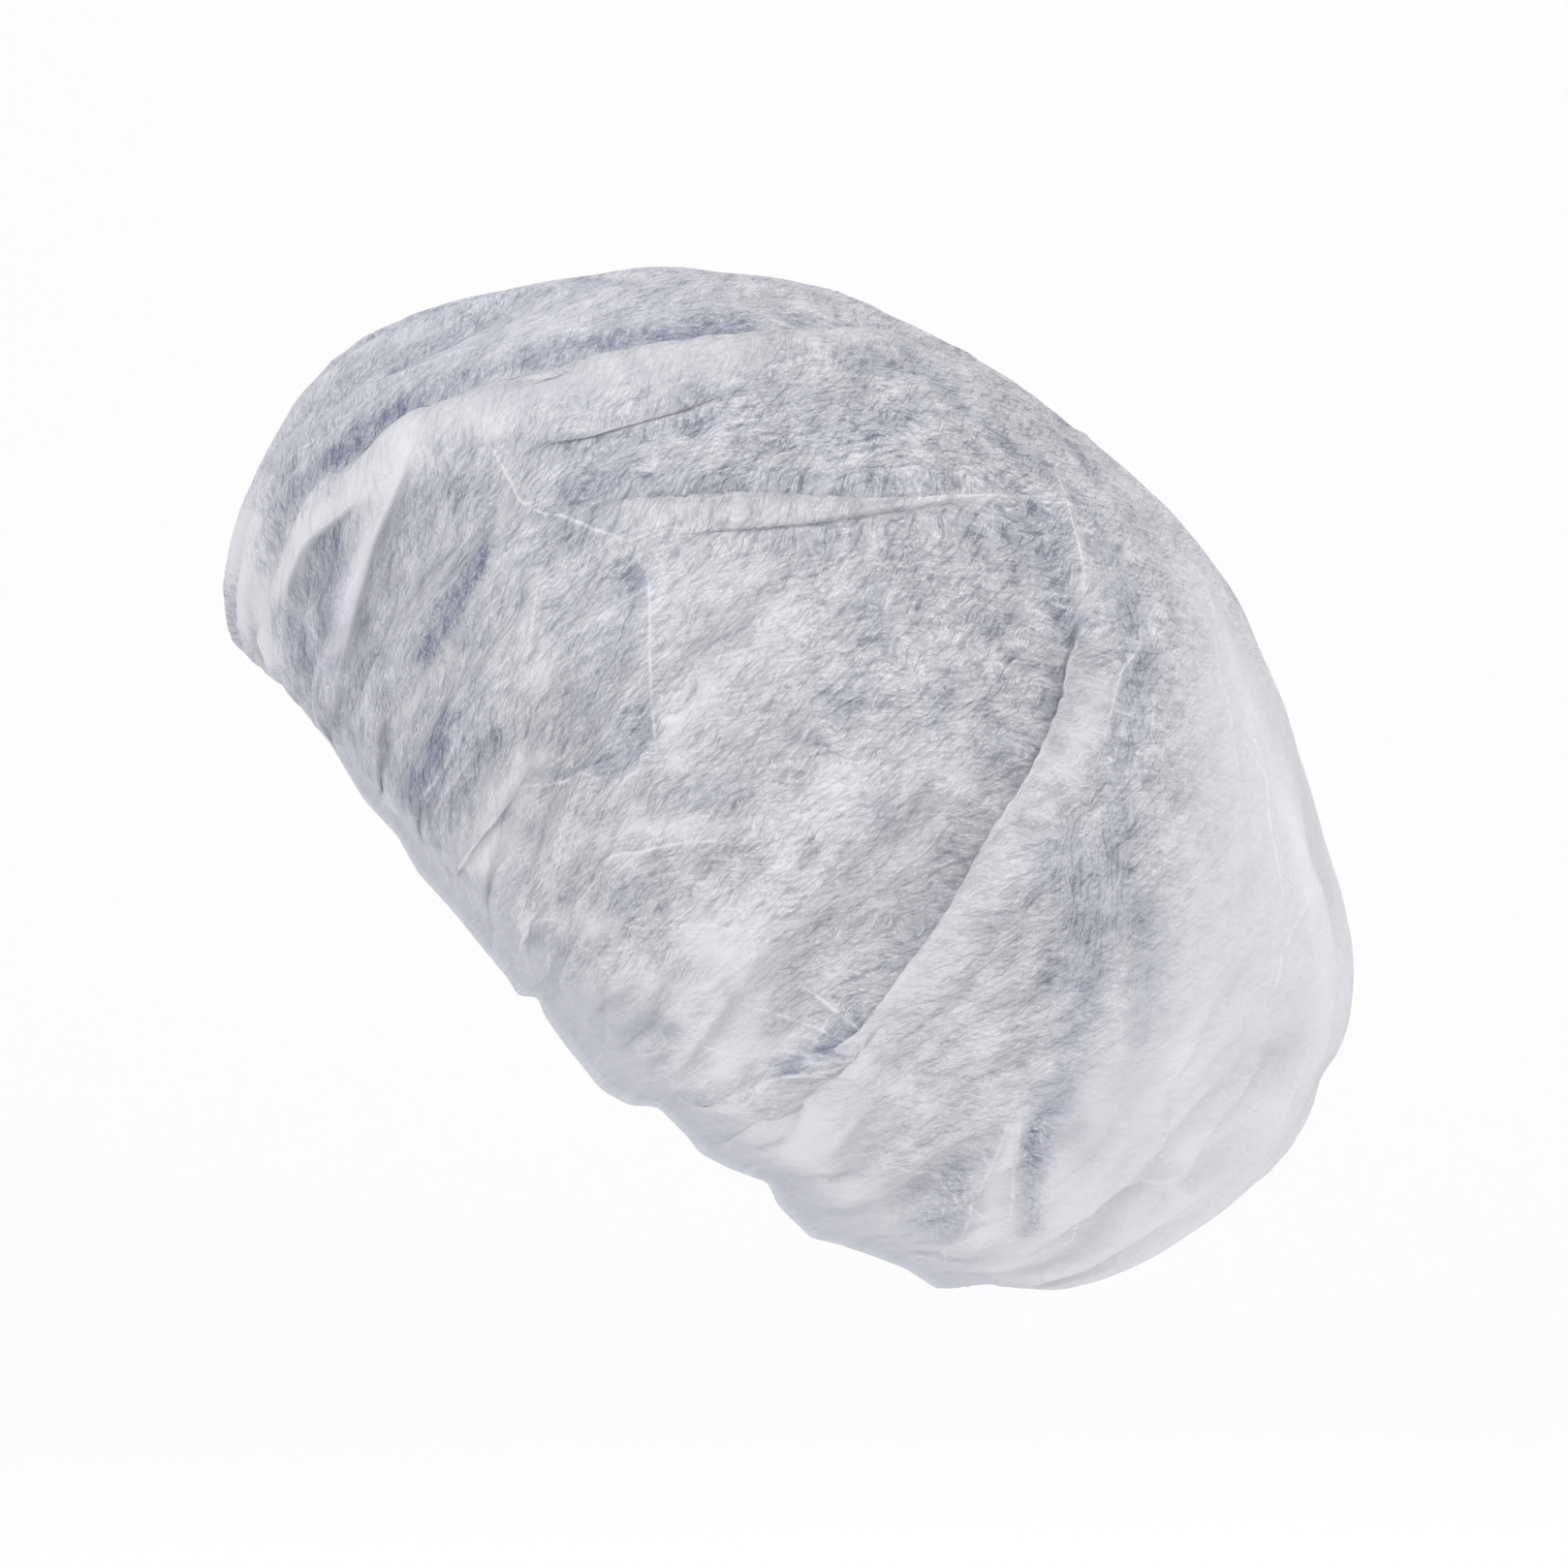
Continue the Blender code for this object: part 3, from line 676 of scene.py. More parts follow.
class Bag:
    """The bag as a grid of rows by columns, with the lengths that the cloth's threads keep over it."""

    def __init__(self, rows, columns):
        self.radii = np.linspace(CROWN_RADIUS, TIP_RADIUS, rows)
        angle = np.arange(columns) * 2 * np.pi / columns
        self.angle, self.up = np.meshgrid(angle, 1 - self.radii / CROWN_RADIUS)
        self.smooth = bag_points(self.angle, self.up)
        hem_top = hem_points(HEM_SECTION[-1:], angle)[0]
        settle = np.exp(-((self.up * CROWN_RADIUS / SETTLE_LENGTH) ** 2))[..., None]
        self.smooth += (hem_top - self.smooth[0]) * settle
        self.normals = grid_normals(self.smooth)
        self.points = self.smooth + push_along_lines(self.smooth, BROAD_FOLDS)[..., None] * self.normals
        self.points[0] = self.smooth[0]
        self.along = self.up * CROWN_RADIUS
        step = np.linalg.norm(np.roll(self.smooth, -1, axis=1) - self.smooth, axis=-1)
        spare = np.maximum(2 * np.pi * self.radii / step.sum(axis=1) - 1, 0)[:, None]
        near_hem = np.exp(-((self.along / FULLNESS_LENGTH) ** 2))
        share = FULLNESS * (FULLNESS_ABOVE + (1 - FULLNESS_ABOVE) * near_hem)
        share = share * (1 - BACK_TIGHTENING * np.maximum(-np.cos(self.angle), 0) ** 1.5)
        self.round_rest = step * (1 + spare * share + THREAD_SLACK)
        self.up_rest = np.linalg.norm(np.diff(self.smooth, axis=0), axis=-1) * (1 + THREAD_SLACK)
        self.room = ROOM_AT_HEM + ROOM_GAINED * np.clip(self.along / ROOM_LENGTH, 0, 1)


def roughened(cloth, bag, cells_and_sizes, fade, draw):
    """The cloth with uneven cells of several sizes pushed out of it, which fade out towards the hem."""
    for cells, size in cells_and_sizes:
        rough = size * smooth_noise(bag.up.shape, cells, draw) * np.clip(bag.along / fade, 0, 1)
        cloth = cloth + rough[..., None] * bag.normals
    return cloth


def gathered_cloth():
    """The cloth relaxed over the bag, first as a coarse grid. It starts with a wave in every gather near the
    hem, one for two gathers further up, and one for four of them around 80 mm up the cloth."""
    draw = np.random.default_rng(7)
    bag = Bag(COARSE_ROWS, COLUMNS // 2)
    along, angle = bag.along, bag.angle[0]
    low, middle, high = WAVE_HEIGHTS
    waves = low * np.exp(-along / 0.02) * gather_wave(angle)
    waves += middle * (1 - np.exp(-along / 0.01)) * np.exp(-along / 0.04) * gather_wave(angle, 1 / 2)
    waves += high * np.exp(-(((along - 0.08) / 0.04) ** 2)) * gather_wave(angle, 1 / 4)
    cloth = roughened(bag.points + waves[..., None] * bag.normals, bag, COARSE_CELLS, 0.03, draw)
    cloth[0] = bag.points[0]
    cloth = refine(relax(cloth, bag, COARSE_SWEEPS, COARSE_STIFFNESS))
    bag = Bag(cloth.shape[0], COLUMNS)
    cloth = roughened(cloth, bag, FINE_CELLS, 0.02, draw)
    cloth[0] = bag.points[0]
    cloth = relax(cloth, bag, FINE_SWEEPS, FINE_STIFFNESS)
    held = GATHER_SHARE + (1 - GATHER_SHARE) * np.clip(bag.along / GATHER_LENGTH, 0, 1)
    return bag.points + (cloth - bag.points) * held[..., None], bag


# The cloth's way down over the hem: rows on it, rows above it that flow into it, how far it stands off the
# rim and runs on there in a row, how far out and up it leaves the rim, and how firmly it keeps its directions
RIM_ROWS = 5
FLOW_ROWS = 11
RIM_GAP = 0.0003
RIM_ROW_STEP = 0.0018
RIM_OUT = 0.55
RIM_UP = 0.83
RIM_PULL = 1.1


def smoothed_round(cloth, reach):
    """The mean of each point and its neighbours in its row, reach columns to either side."""
    return sum(np.roll(cloth, step, axis=1) for step in range(-reach, reach + 1)) / (2 * reach + 1)


def over_hem(cloth, angle):
    """The cloth with rows added below it, down to the rim. A cubic leaves the rim steeply and meets the
    cloth's slope FLOW_ROWS up; the gathers stay on it, weaker towards the rim."""
    level = smoothed_round(cloth[: FLOW_ROWS + 2], 8)
    detail = cloth[:FLOW_ROWS] - level[:FLOW_ROWS]
    out = opening_normal(angle)
    rim = hem_points(HEM_SECTION[8:9] * (1, 1, HEM_SLACK), angle)[0] + RIM_GAP * out
    top, slope = level[FLOW_ROWS], level[FLOW_ROWS + 1] - level[FLOW_ROWS - 1]
    reach = RIM_PULL * np.linalg.norm(top - rim, axis=-1, keepdims=True)
    steep = RIM_OUT * out + (0, 0, RIM_UP)
    t = np.linspace(0, 1, RIM_ROWS + FLOW_ROWS + 1)[:-1, None, None]
    flow = cubic(t, rim, reach * steep, top, reach * unit(slope))
    detail = np.concatenate([np.repeat(detail[:1], RIM_ROWS, axis=0), detail])
    return np.concatenate([flow + detail * t**0.7, cloth[FLOW_ROWS:]])


def spots_on(cloth, line, count):
    """Places on the cloth along a smooth curve through (degrees, share up) pairs, and its directions."""
    degrees, up = smooth_through(np.array(line), count).T
    rows, columns = cloth.shape[:2]
    row = np.clip(RIM_ROWS + up / CLOTH_SHARE * (rows - 1 - RIM_ROWS), 0, rows - 1.001)
    column = np.mod(degrees / 360, 1) * columns
    low, left = row.astype(int), column.astype(int) % columns
    spots = between_points(cloth, low, left, (row - low)[:, None], (column - left)[:, None])
    return spots, unit(np.gradient(spots, axis=0))


# The folds and tones are placed in the photograph, which shows the left side: pixels from its left and top
# edge. The middle of the opening lies at PHOTO_MIDDLE there, and a metre is PHOTO_SCALE pixels.
PHOTO_SCALE = 3350.0
PHOTO_MIDDLE = (702.5, 608.0)
# Folds that lap over, to the right of their line as it is walked: name, lap, reach, step in mm, whiteness of
# the lap and of the painted highlight at its edge, painted shadow beyond it, soft shares at start and end,
# places
LAPS = (
    ("main ridge", 5.2, 12, 1, 0.46, 0.3, 0.35, 0.12, ((1083, 277), (1060, 296), (1041, 322),
        (1034, 342), (1029, 363), (1026, 387), (1015, 417), (997, 452), (971, 490), (939, 545),
        (910, 585), (881, 625), (862, 648), (841, 671), (819, 684), (801, 694), (779, 713))),
    ("top band", 4.4, 14, 1, 0.25, 0.5, 0.15, 0.3, ((922, 105), (900, 105), (829, 110), (757, 123),
        (683, 138), (618, 154), (559, 170), (530, 190), (488, 219), (444, 252))),
    ("top band foot", 2.6, 6, 0.4, 0.15, 0.45, 0.3, 0.3, ((625, 211), (670, 197), (712, 185), (755, 172),
        (795, 156))),
    ("side band", 3.2, 7, 0.6, 0.25, 0.3, 0.2, 0.2, ((1030, 229), (960, 234), (907, 237), (853, 239),
        (797, 239), (748, 242), (699, 245), (642, 247))),
    ("side band foot", 2.8, 7, 0.5, 0.15, 0.15, 0.3, 0.2, ((735, 274), (770, 265), (813, 260),
        (856, 257), (900, 252), (950, 247), (1000, 242))),
    ("front upright", 3.0, 8, 0.9, 0.40, 0.2, 0.3, 0.3, ((492, 408), (497, 375), (504, 350), (509, 325),
        (515, 304), (525, 270), (540, 237), (559, 195), (575, 168))),
    ("broad fold", 2.8, 8, 0.7, 0.5, 0.25, 0.1, 0.35, ((577, 520), (592, 500), (608, 480), (622, 460),
        (638, 438), (655, 415))),
    ("front inner", 2.4, 7, 0.7, 0.3, 0.35, 0.3, 0.3, ((455, 318), (460, 300), (475, 270), (505, 245),
        (540, 228))),
)
# Thin creases: rise and width in mm, brightness of the painted highlight along them, places
CREASES = (
    (0.7, 1.6, 0.55, ((598, 187), (611, 203), (623, 226), (637, 245), (670, 258), (702, 268), (723, 276))),
    (0.6, 1.5, 0.42, ((723, 276), (727, 310), (728, 359), (731, 408), (733, 457))),
    (0.6, 2.2, 0.3, ((650, 284), (644, 326), (637, 362))),
    (0.5, 1.5, 0.4, ((718, 369), (702, 401), (682, 424))),
    (0.5, 1.4, 0.4, ((624, 460), (657, 447), (676, 437), (702, 444))),
    (0.5, 1.4, 0.35, ((699, 460), (712, 440), (728, 431))),
    (0.9, 1.8, 0.5, ((1030, 196), (1032, 239), (1038, 277), (1041, 315))),
    (0.6, 1.6, 0.35, ((1088, 309), (1081, 347), (1067, 366), (1057, 404), (1045, 440))),
    (0.5, 1.6, 0.2, ((1156, 379), (1175, 427), (1185, 490), (1194, 560))),
    (0.8, 1.6, 0.6, ((829, 587), (857, 604), (882, 626))),
    (0.5, 1.6, 0.4, ((882, 626), (850, 634), (815, 648))),
    (0.6, 1.5, 0.5, ((667, 545), (683, 522), (700, 497), (724, 493), (756, 486))),
    (0.5, 1.4, 0.4, ((630, 556), (653, 533), (678, 508))),
    (0.6, 1.5, 0.5, ((627, 580), (636, 556), (647, 549), (667, 545))),
    (0.5, 2, 0.3, ((667, 550), (690, 570), (706, 592))),
    (0.5, 1.4, 0.35, ((654, 560), (650, 580), (645, 603))),
    (0.5, 2, 0.3, ((684, 540), (720, 548), (770, 545), (800, 556))),
    (0.6, 1.7, 0.35, ((1014, 806), (1039, 786), (1052, 763), (1062, 735))),
    (0.4, 1.3, 0.3, ((1013, 823), (1013, 836))),
    (0.4, 1.3, 0.3, ((942, 806), (941, 788))),
    (0.5, 1.3, 0.4, ((463, 297), (470, 318), (478, 343))),
    (0.4, 1.3, 0.3, ((480, 303), (470, 318), (460, 330))),
    (0.6, 1.8, 0.4, ((1189, 570), (1186, 585), (1182, 602))),
    (0.5, 2, 0.3, ((1129, 639), (1114, 651), (1099, 664))),
    (0.5, 2.2, 0.25, ((1109, 689), (1102, 712), (1099, 738))),
    (0.6, 2, 0.4, ((1114, 742), (1118, 752), (1119, 762))),
    (0.5, 2, 0.14, ((1147, 365), (1158, 410), (1163, 470))),
    (0.5, 2.2, 0.3, ((1206, 690), (1200, 705), (1192, 716))),
    (0.4, 2, 0.2, ((1060, 745), (1100, 742), (1140, 715))),
    (0.5, 2, 0.25, ((520, 150), (570, 128), (640, 112), (700, 103))),
    (0.9, 2.2, 0.4, ((453, 376), (436, 345), (424, 312), (420, 278), (424, 250), (432, 225))),
    (0.5, 2, 0.3, ((560, 500), (573, 470), (590, 438), (612, 408))),
    (0.4, 1.3, 0.3, ((1052, 322), (1043, 350), (1035, 385), (1020, 420))),
    (0.5, 1.8, 0.14, ((1143, 350), (1158, 395), (1180, 450), (1192, 520), (1200, 560))),
    (0.5, 1.8, 0.3, ((1235, 520), (1218, 540), (1200, 560), (1189, 578))),
    (0.4, 1.5, 0.2, ((1138, 280), (1148, 305), (1152, 330))),
    (0.5, 1.6, 0.14, ((1170, 380), (1178, 420), (1185, 470))),
    (0.3, 1.2, 0.25, ((1022, 428), (1005, 455), (985, 490))),
    (0.3, 1, 0.4, ((640, 248), (760, 242), (850, 236), (950, 233), (1030, 230), (1070, 232))),
    (0.3, 1, 0.3, ((850, 243), (940, 240), (1030, 238), (1085, 243))),
    (0.4, 1.3, 0.3, ((878, 622), (835, 615), (795, 605))),
    (0.4, 1.8, 0.12, ((878, 624), (830, 635), (785, 640), (740, 632))),
    (0.4, 1.3, 0.35, ((876, 626), (830, 648), (780, 668), (738, 683))),
    (0.4, 1.2, 0.4, ((590, 410), (575, 440), (556, 466))),
    (0.5, 1.6, 0.4, ((440, 215), (480, 182), (545, 142))),
    (0.4, 1.2, 0.25, ((452, 205), (470, 188), (490, 170))),
    (0.5, 2.4, 0.12, ((655, 560), (662, 600), (690, 636), (730, 640), (750, 632))),
    (0.5, 1.5, 0.35, ((705, 498), (750, 487), (800, 489))),
    (0.4, 1.4, 0.3, ((573, 520), (600, 490), (622, 465))),
    (0.7, 1.6, 0.3, ((874, 627), (841, 643), (804, 660), (768, 679), (740, 684))),
    (0.7, 1.5, 0.35, ((993, 672), (984, 692), (976, 716), (967, 744), (958, 768), (951, 792))),
    (0.5, 1.4, 0.25, ((993, 672), (993, 690), (992, 710), (990, 735), (989, 758), (987, 781))),
    (0.7, 1.6, 0.3, ((880, 719), (905, 724), (930, 731), (946, 744), (962, 759), (987, 783), (1009, 801))),
    (0.5, 1.8, 0.25, ((1230, 560), (1229, 590), (1228, 620), (1226, 650), (1224, 676))),
)
# Greyer and whiter strokes, partly painted shade and painted light of the folds and partly how thin the cloth
# looks: half width in pixels, change of the veil, then that of calm and of grain where a stroke has one, and
# its places
SHADES = (
    # The middle of the side
    (24, -0.16, 0.1, ((745, 315), (785, 300))), (22, -0.14, ((835, 320), (845, 365))),
    (24, -0.22, 0.1, ((770, 395), (765, 430))), (15, -0.3, ((785, 370), (752, 400), (748, 425))),
    (22, -0.2, ((815, 495), (850, 455), (895, 420))), (17, -0.18, ((895, 385), (935, 345))),
    (11, -0.18, ((962, 352), (980, 360))), (10, -0.16, ((935, 445), (950, 430))),
    (10, -0.2, ((960, 470), (985, 445))), (8, -0.2, ((1003, 315), (1010, 345))),
    (9, -0.22, ((790, 266), (840, 264), (905, 266))), (16, 0.22, ((990, 262), (1015, 280))),
    (11, 0.24, ((1020, 300), (1022, 330))), (9, 0.1, 0.1, ((1018, 385), (1005, 430), (985, 465))),
    (8, 0.12, 0.2, ((965, 500), (930, 550), (900, 595))), (17, 0.16, ((860, 390), (890, 375))),
    (12, 0.14, ((885, 310), (890, 340))), (12, 0.16, ((935, 350), (930, 400))),
    (15, 0.2, 0.1, ((885, 465), (905, 480))), (14, 0.1, ((960, 300), (975, 340))),
    (12, 0.1, ((985, 405), (970, 420))), (14, 0.12, ((740, 460), (790, 450))),
    (20, -0.06, ((850, 560), (880, 590))), (24, -0.1, ((830, 510), (830, 560))),
    (4, 0.25, ((1030, 425), (1015, 450), (1003, 480))),
    (4, 0.22, ((990, 520), (975, 550), (958, 585), (945, 615))),
    (11, 0.3, ((722, 398), (715, 425), (695, 432))), (6, 0.24, ((650, 440), (690, 430))),
    (14, 0.14, ((680, 350), (690, 390))), (24, -0.36, 0.7, ((770, 560), (790, 575))),
    (12, 0.26, ((712, 520), (700, 538))), (14, -0.36, 0.4, ((642, 548), (690, 545))),
    (11, -0.32, 0.2, ((685, 485), (730, 474), (795, 474))),
    (22, -0.24, 0.1, ((825, 585), (870, 560), (920, 495), (955, 455))),
    (14, 0.44, ((1012, 246), (1020, 256))), (12, 0.38, ((716, 300), (714, 325), (704, 350))),
    (12, 0.16, ((705, 400), (710, 430))), (26, -0.2, 0.2, ((800, 330), (770, 345))),
    (16, -0.2, ((1000, 350), (985, 385), (990, 415))), (12, -0.24, ((662, 410), (672, 440))),
    (16, -0.24, 0.2, ((905, 478), (912, 490))), (14, -0.2, ((985, 440), (975, 445))),
    (16, 0.2, ((690, 260), (660, 268))), (9, 0.3, ((860, 267), (845, 262))),
    (16, 0.16, ((855, 375), (870, 385))), (12, 0.22, ((780, 425), (762, 452))),
    (16, -0.18, ((930, 275), (960, 310))), (16, 0.14, ((950, 535), (920, 580))),
    (11, 0.3, ((1010, 490), (1003, 525))), (13, -0.2, ((1003, 525), (992, 560))),
    (12, -0.22, ((842, 438), (838, 466))), (10, -0.18, ((750, 400), (752, 425))),
    (9, -0.26, ((709, 330), (702, 355))), (8, 0.18, ((722, 300), (720, 322))),
    (8, 0.2, ((905, 574), (894, 598))), (9, 0.18, ((1018, 575), (1012, 592))),
    (14, -0.24, ((735, 592), (762, 590))), (8, 0.22, ((994, 552), (984, 600))),
    (9, 0.18, ((692, 345), (700, 312))),
    # The top
    (9, 0.2, ((1045, 230), (1055, 250))), (8, 0.2, ((1045, 190), (1060, 215))),
    (16, -0.1, 0.5, ((570, 190), (640, 165), (720, 150), (800, 135))),
    (5, 0.3, 0.1, ((640, 205), (700, 188), (760, 170), (790, 158))),
    (10, 0.26, 0, -0.5, ((668, 235), (712, 213))), (5, 0.2, ((610, 138), (660, 130))),
    (6, 0.2, ((690, 125), (760, 112), (820, 105))), (12, -0.2, 0.4, ((500, 112), (560, 107))),
    (14, 0.26, 0, -0.4, ((885, 130), (935, 140))), (16, 0.14, 0, -0.3, ((960, 165), (1010, 205))),
    (45, 0, -0.4, -0.5, ((790, 190), (900, 190), (980, 205))), (40, 0.05, 0, -0.9, ((745, 106), (840, 98))),
    (40, -0.1, 0.3, -0.2, ((430, 140), (480, 130))), (40, -0.12, 0.3, -0.5, ((590, 112), (640, 100))),
    (10, 0.26, ((680, 245), (790, 242), (900, 238))), (16, 0.2, ((855, 200), (900, 186), (925, 172))),
    (11, 0.18, ((766, 192), (776, 158))), (12, -0.16, 0.2, ((505, 132), (565, 100))),
    (10, -0.34, 0.2, ((622, 142), (655, 138))), (14, -0.4, 0.1, ((815, 95), (838, 104), (865, 104))),
    (7, -0.24, ((690, 190), (760, 172))), (14, -0.2, ((945, 205), (950, 225))),
    (9, 0.18, ((640, 120), (700, 110), (745, 108))), (14, -0.3, ((820, 84), (870, 88))),
    (14, 0.18, ((915, 118), (942, 140))), (8, -0.26, ((700, 192), (740, 184), (775, 172))),
    (10, 0.2, ((838, 165), (840, 182))),
    # The front
    (17, 0.44, ((530, 170), (508, 184))), (15, 0.48, ((490, 198), (466, 222), (448, 240))),
    (30, -0.8, 0.6, ((412, 262), (416, 300), (428, 340))),
    (14, -0.18, 0.4, ((462, 262), (505, 235), (545, 195))),
    (13, -0.24, 0.5, ((545, 215), (522, 260), (506, 300), (497, 340))),
    (17, -0.24, 0.1, ((562, 212), (542, 260), (522, 300), (506, 345))), (9, 0.06, ((595, 228), (575, 240))),
    (11, 0.62, ((490, 280), (481, 330))), (11, 0.3, ((452, 325), (468, 360))),
    (14, 0.55, 0, 0.5, ((608, 275), (588, 325), (562, 350))), (13, 0.14, 0, 0.4, ((575, 300), (570, 330))),
    (5, -0.45, 0.4, ((617, 245), (612, 290), (595, 325), (570, 365), (545, 400))),
    (14, 0.58, ((578, 400), (564, 432), (553, 455))), (9, 0.28, ((612, 408), (603, 435), (590, 462))),
    (17, -0.6, 0.6, ((640, 432), (632, 480), (606, 512))), (9, 0.3, ((640, 478), (620, 472))),
    (6, 0.2, 0.3, ((612, 485), (590, 512))), (7, -0.22, 0.2, ((648, 290), (641, 330), (640, 375))),
    (10, 0.14, ((662, 300), (662, 340))), (6, 0.2, ((655, 533), (665, 528))),
    (12, 0.24, ((606, 370), (600, 400))), (12, -0.26, ((614, 197), (625, 215))),
    (14, -0.24, ((450, 295), (480, 262))), (14, -0.2, ((575, 345), (582, 360))),
    (12, 0.22, ((640, 285), (635, 320))), (16, -0.26, ((598, 250), (565, 275), (538, 310))),
    (14, 0.22, ((500, 395), (512, 405))), (12, 0.2, ((528, 355), (535, 375))),
    (16, -0.18, ((586, 195), (570, 216))), (14, -0.2, ((625, 188), (633, 225))),
    (15, -0.16, ((515, 322), (542, 308))), (14, -0.22, ((600, 448), (588, 490))),
    (22, 0.14, 0.2, ((610, 545), (640, 575), (660, 610))), (12, 0.18, ((600, 172), (622, 166))),
    (12, 0.12, ((455, 330), (470, 350))),
    # The back
    (6, -0.2, 0.3, ((1036, 240), (1040, 280), (1039, 315))),
    (6, -0.25, 0.3, ((1080, 277), (1060, 297), (1045, 322))),
    (9, -0.22, 0.5, ((1062, 375), (1048, 405), (1035, 440))),
    (18, 0.26, 0, 0.6, ((1072, 280), (1080, 350), (1072, 420))),
    (14, 0.22, 0, 0.9, ((1060, 470), (1065, 540))), (18, 0.24, 0, 0.9, ((1030, 490), (1045, 580))),
    (14, 0.42, ((1040, 600), (1030, 645), (1015, 680))), (8, -0.2, ((1085, 500), (1095, 530))),
    (32, -0.18, 0.4, ((1150, 300), (1178, 380), (1202, 450), (1220, 520))),
    (22, -0.22, 0.4, ((1234, 570), (1225, 620), (1218, 660))), (24, -0.16, 0.3, ((1190, 700), (1130, 720))),
    (12, 0.06, ((1175, 600), (1150, 640))), (3, 0.2, ((1106, 675), (1104, 700), (1099, 735))),
    (5, -0.2, ((1120, 643), (1124, 640))), (8, -0.2, ((1130, 720), (1142, 714))),
    (5, -0.24, ((1117, 745), (1119, 760))), (26, 0.1, 0.6, ((1060, 680), (1070, 740), (1050, 790))),
    (44, -0.1, 0.3, ((1080, 780), (1120, 770))), (40, -0.14, 0.3, ((1110, 220), (1130, 260))),
    (12, 0.24, ((1045, 325), (1042, 380), (1030, 420))), (14, -0.12, 0.3, ((1207, 470), (1222, 545))),
    (20, 0.18, ((1085, 520), (1095, 600), (1075, 660))), (14, 0.28, 0, 0.5, ((1028, 680), (1042, 718))),
    (14, 0.18, 0, 0.5, ((1082, 585), (1080, 625))), (9, -0.18, ((1037, 615), (1028, 645))),
    (10, 0.16, ((1062, 440), (1075, 478))),
    # Low down, above the hem
    (7, 0.22, 0.3, ((897, 598), (883, 618))), (18, 0.32, -0.7, -1, ((950, 735), (950, 765))),
    (16, 0.3, -0.6, -1, ((925, 765), (940, 780))), (10, 0.44, -0.7, -1, ((1001, 700), (1004, 775))),
    (12, 0.3, -0.5, -1, ((1010, 690), (1010, 720))), (5, -0.3, 0.7, ((990, 695), (985, 725))),
    (9, -0.34, 0.7, ((981, 740), (972, 775))), (5, 0.12, 0.4, ((945, 808), (1000, 803))),
    (7, 0.22, 0, -0.3, ((705, 625), (728, 620), (745, 628))),
    (7, 0.2, 0.2, ((845, 645), (862, 630), (877, 622))), (40, -0.42, 0.7, ((840, 705), (880, 700))),
    (30, -0.26, 0.6, ((730, 600), (800, 630))), (25, 0, 0.6, ((680, 600), (700, 640))),
    (7, 0.15, 0.5, ((740, 695), (785, 706))), (30, -0.14, 0.5, ((1000, 812), (1030, 800))),
    (24, -0.36, 0.3, ((757, 650), (790, 690), (815, 720))), (14, -0.26, 0.2, ((800, 600), (778, 640))),
    (26, -0.34, 0.1, ((975, 600), (958, 640), (915, 665))), (22, -0.3, 0.4, ((850, 740), (890, 750))),
    (6, 0.6, 0.1, ((868, 611), (852, 620), (820, 647))),
    (6, -0.24, 0.4, ((858, 612), (820, 630), (775, 655))), (16, -0.14, 0.3, ((870, 745), (862, 765))),
    (14, -0.22, ((920, 600), (955, 615))), (10, 0.2, ((982, 688), (965, 718))),
    (12, -0.16, ((935, 785), (965, 785))), (10, -0.18, ((886, 652), (906, 665))),
    (9, 0.2, ((726, 618), (742, 622))), (9, 0.2, ((728, 612), (740, 620))),
)
# A place in the photograph is found on the cloth within so many pixels, and at least so far out on the left
FIND_PIXELS = 9
LEFT_REACH = 0.01


class SideView:
    """The cloth as the photograph sees it, from the left: where each point lies in pixels, and how that
    changes from column to column and from row to row."""

    def __init__(self, cloth):
        place = tipped(cloth)
        self.out = place[..., 0]
        across, down = place[..., 1] * PHOTO_SCALE, -place[..., 2] * PHOTO_SCALE
        self.pixels = np.stack([across, down], axis=-1) + PHOTO_MIDDLE
        self.round_way = (np.roll(self.pixels, -1, axis=1) - np.roll(self.pixels, 1, axis=1)) / 2
        self.up_way = np.gradient(self.pixels, axis=0)

    def find(self, places):
        """Degrees round and share up of places in the photograph. The cloth point with the best score is
        moved on by the two slopes to meet the place. Points within FIND_PIXELS score a thousand for each
        metre that they lie out to the left, less 0.4 for each pixel. Others score less the further they are,
        and a thousand less if they lie less than twice LEFT_REACH out."""
        rows, columns = self.out.shape
        found = []
        for place in places:
            gap = place - self.pixels
            apart = np.hypot(gap[..., 0], gap[..., 1])
            near = (apart < FIND_PIXELS) & (self.out > LEFT_REACH)
            other = -1000 - apart - 1000 * (self.out < 2 * LEFT_REACH)
            row, column = np.divmod(np.where(near, 1000 * self.out - 0.4 * apart, other).argmax(), columns)
            gap, over, up = gap[row, column], self.round_way[row, column], self.up_way[row, column]
            whole = over[0] * up[1] - over[1] * up[0]
            whole = whole if abs(whole) > 1e-6 else 1e-6
            columns_on = np.clip((gap[0] * up[1] - gap[1] * up[0]) / whole, -1, 1)
            rows_on = np.clip((over[0] * gap[1] - over[1] * gap[0]) / whole, -1, 1)
            share = (row + rows_on - RIM_ROWS) / (rows - 1 - RIM_ROWS) * CLOTH_SHARE
            found.append(((column + columns_on) / columns * 360, share))
        return tuple(found)


def box_round(cloth, spots, reach):
    """Which points of the cloth lie in the box round some spots, made wider by reach on every side."""
    return ((cloth > spots.min(axis=0) - reach) & (cloth < spots.max(axis=0) + reach)).all(axis=-1)


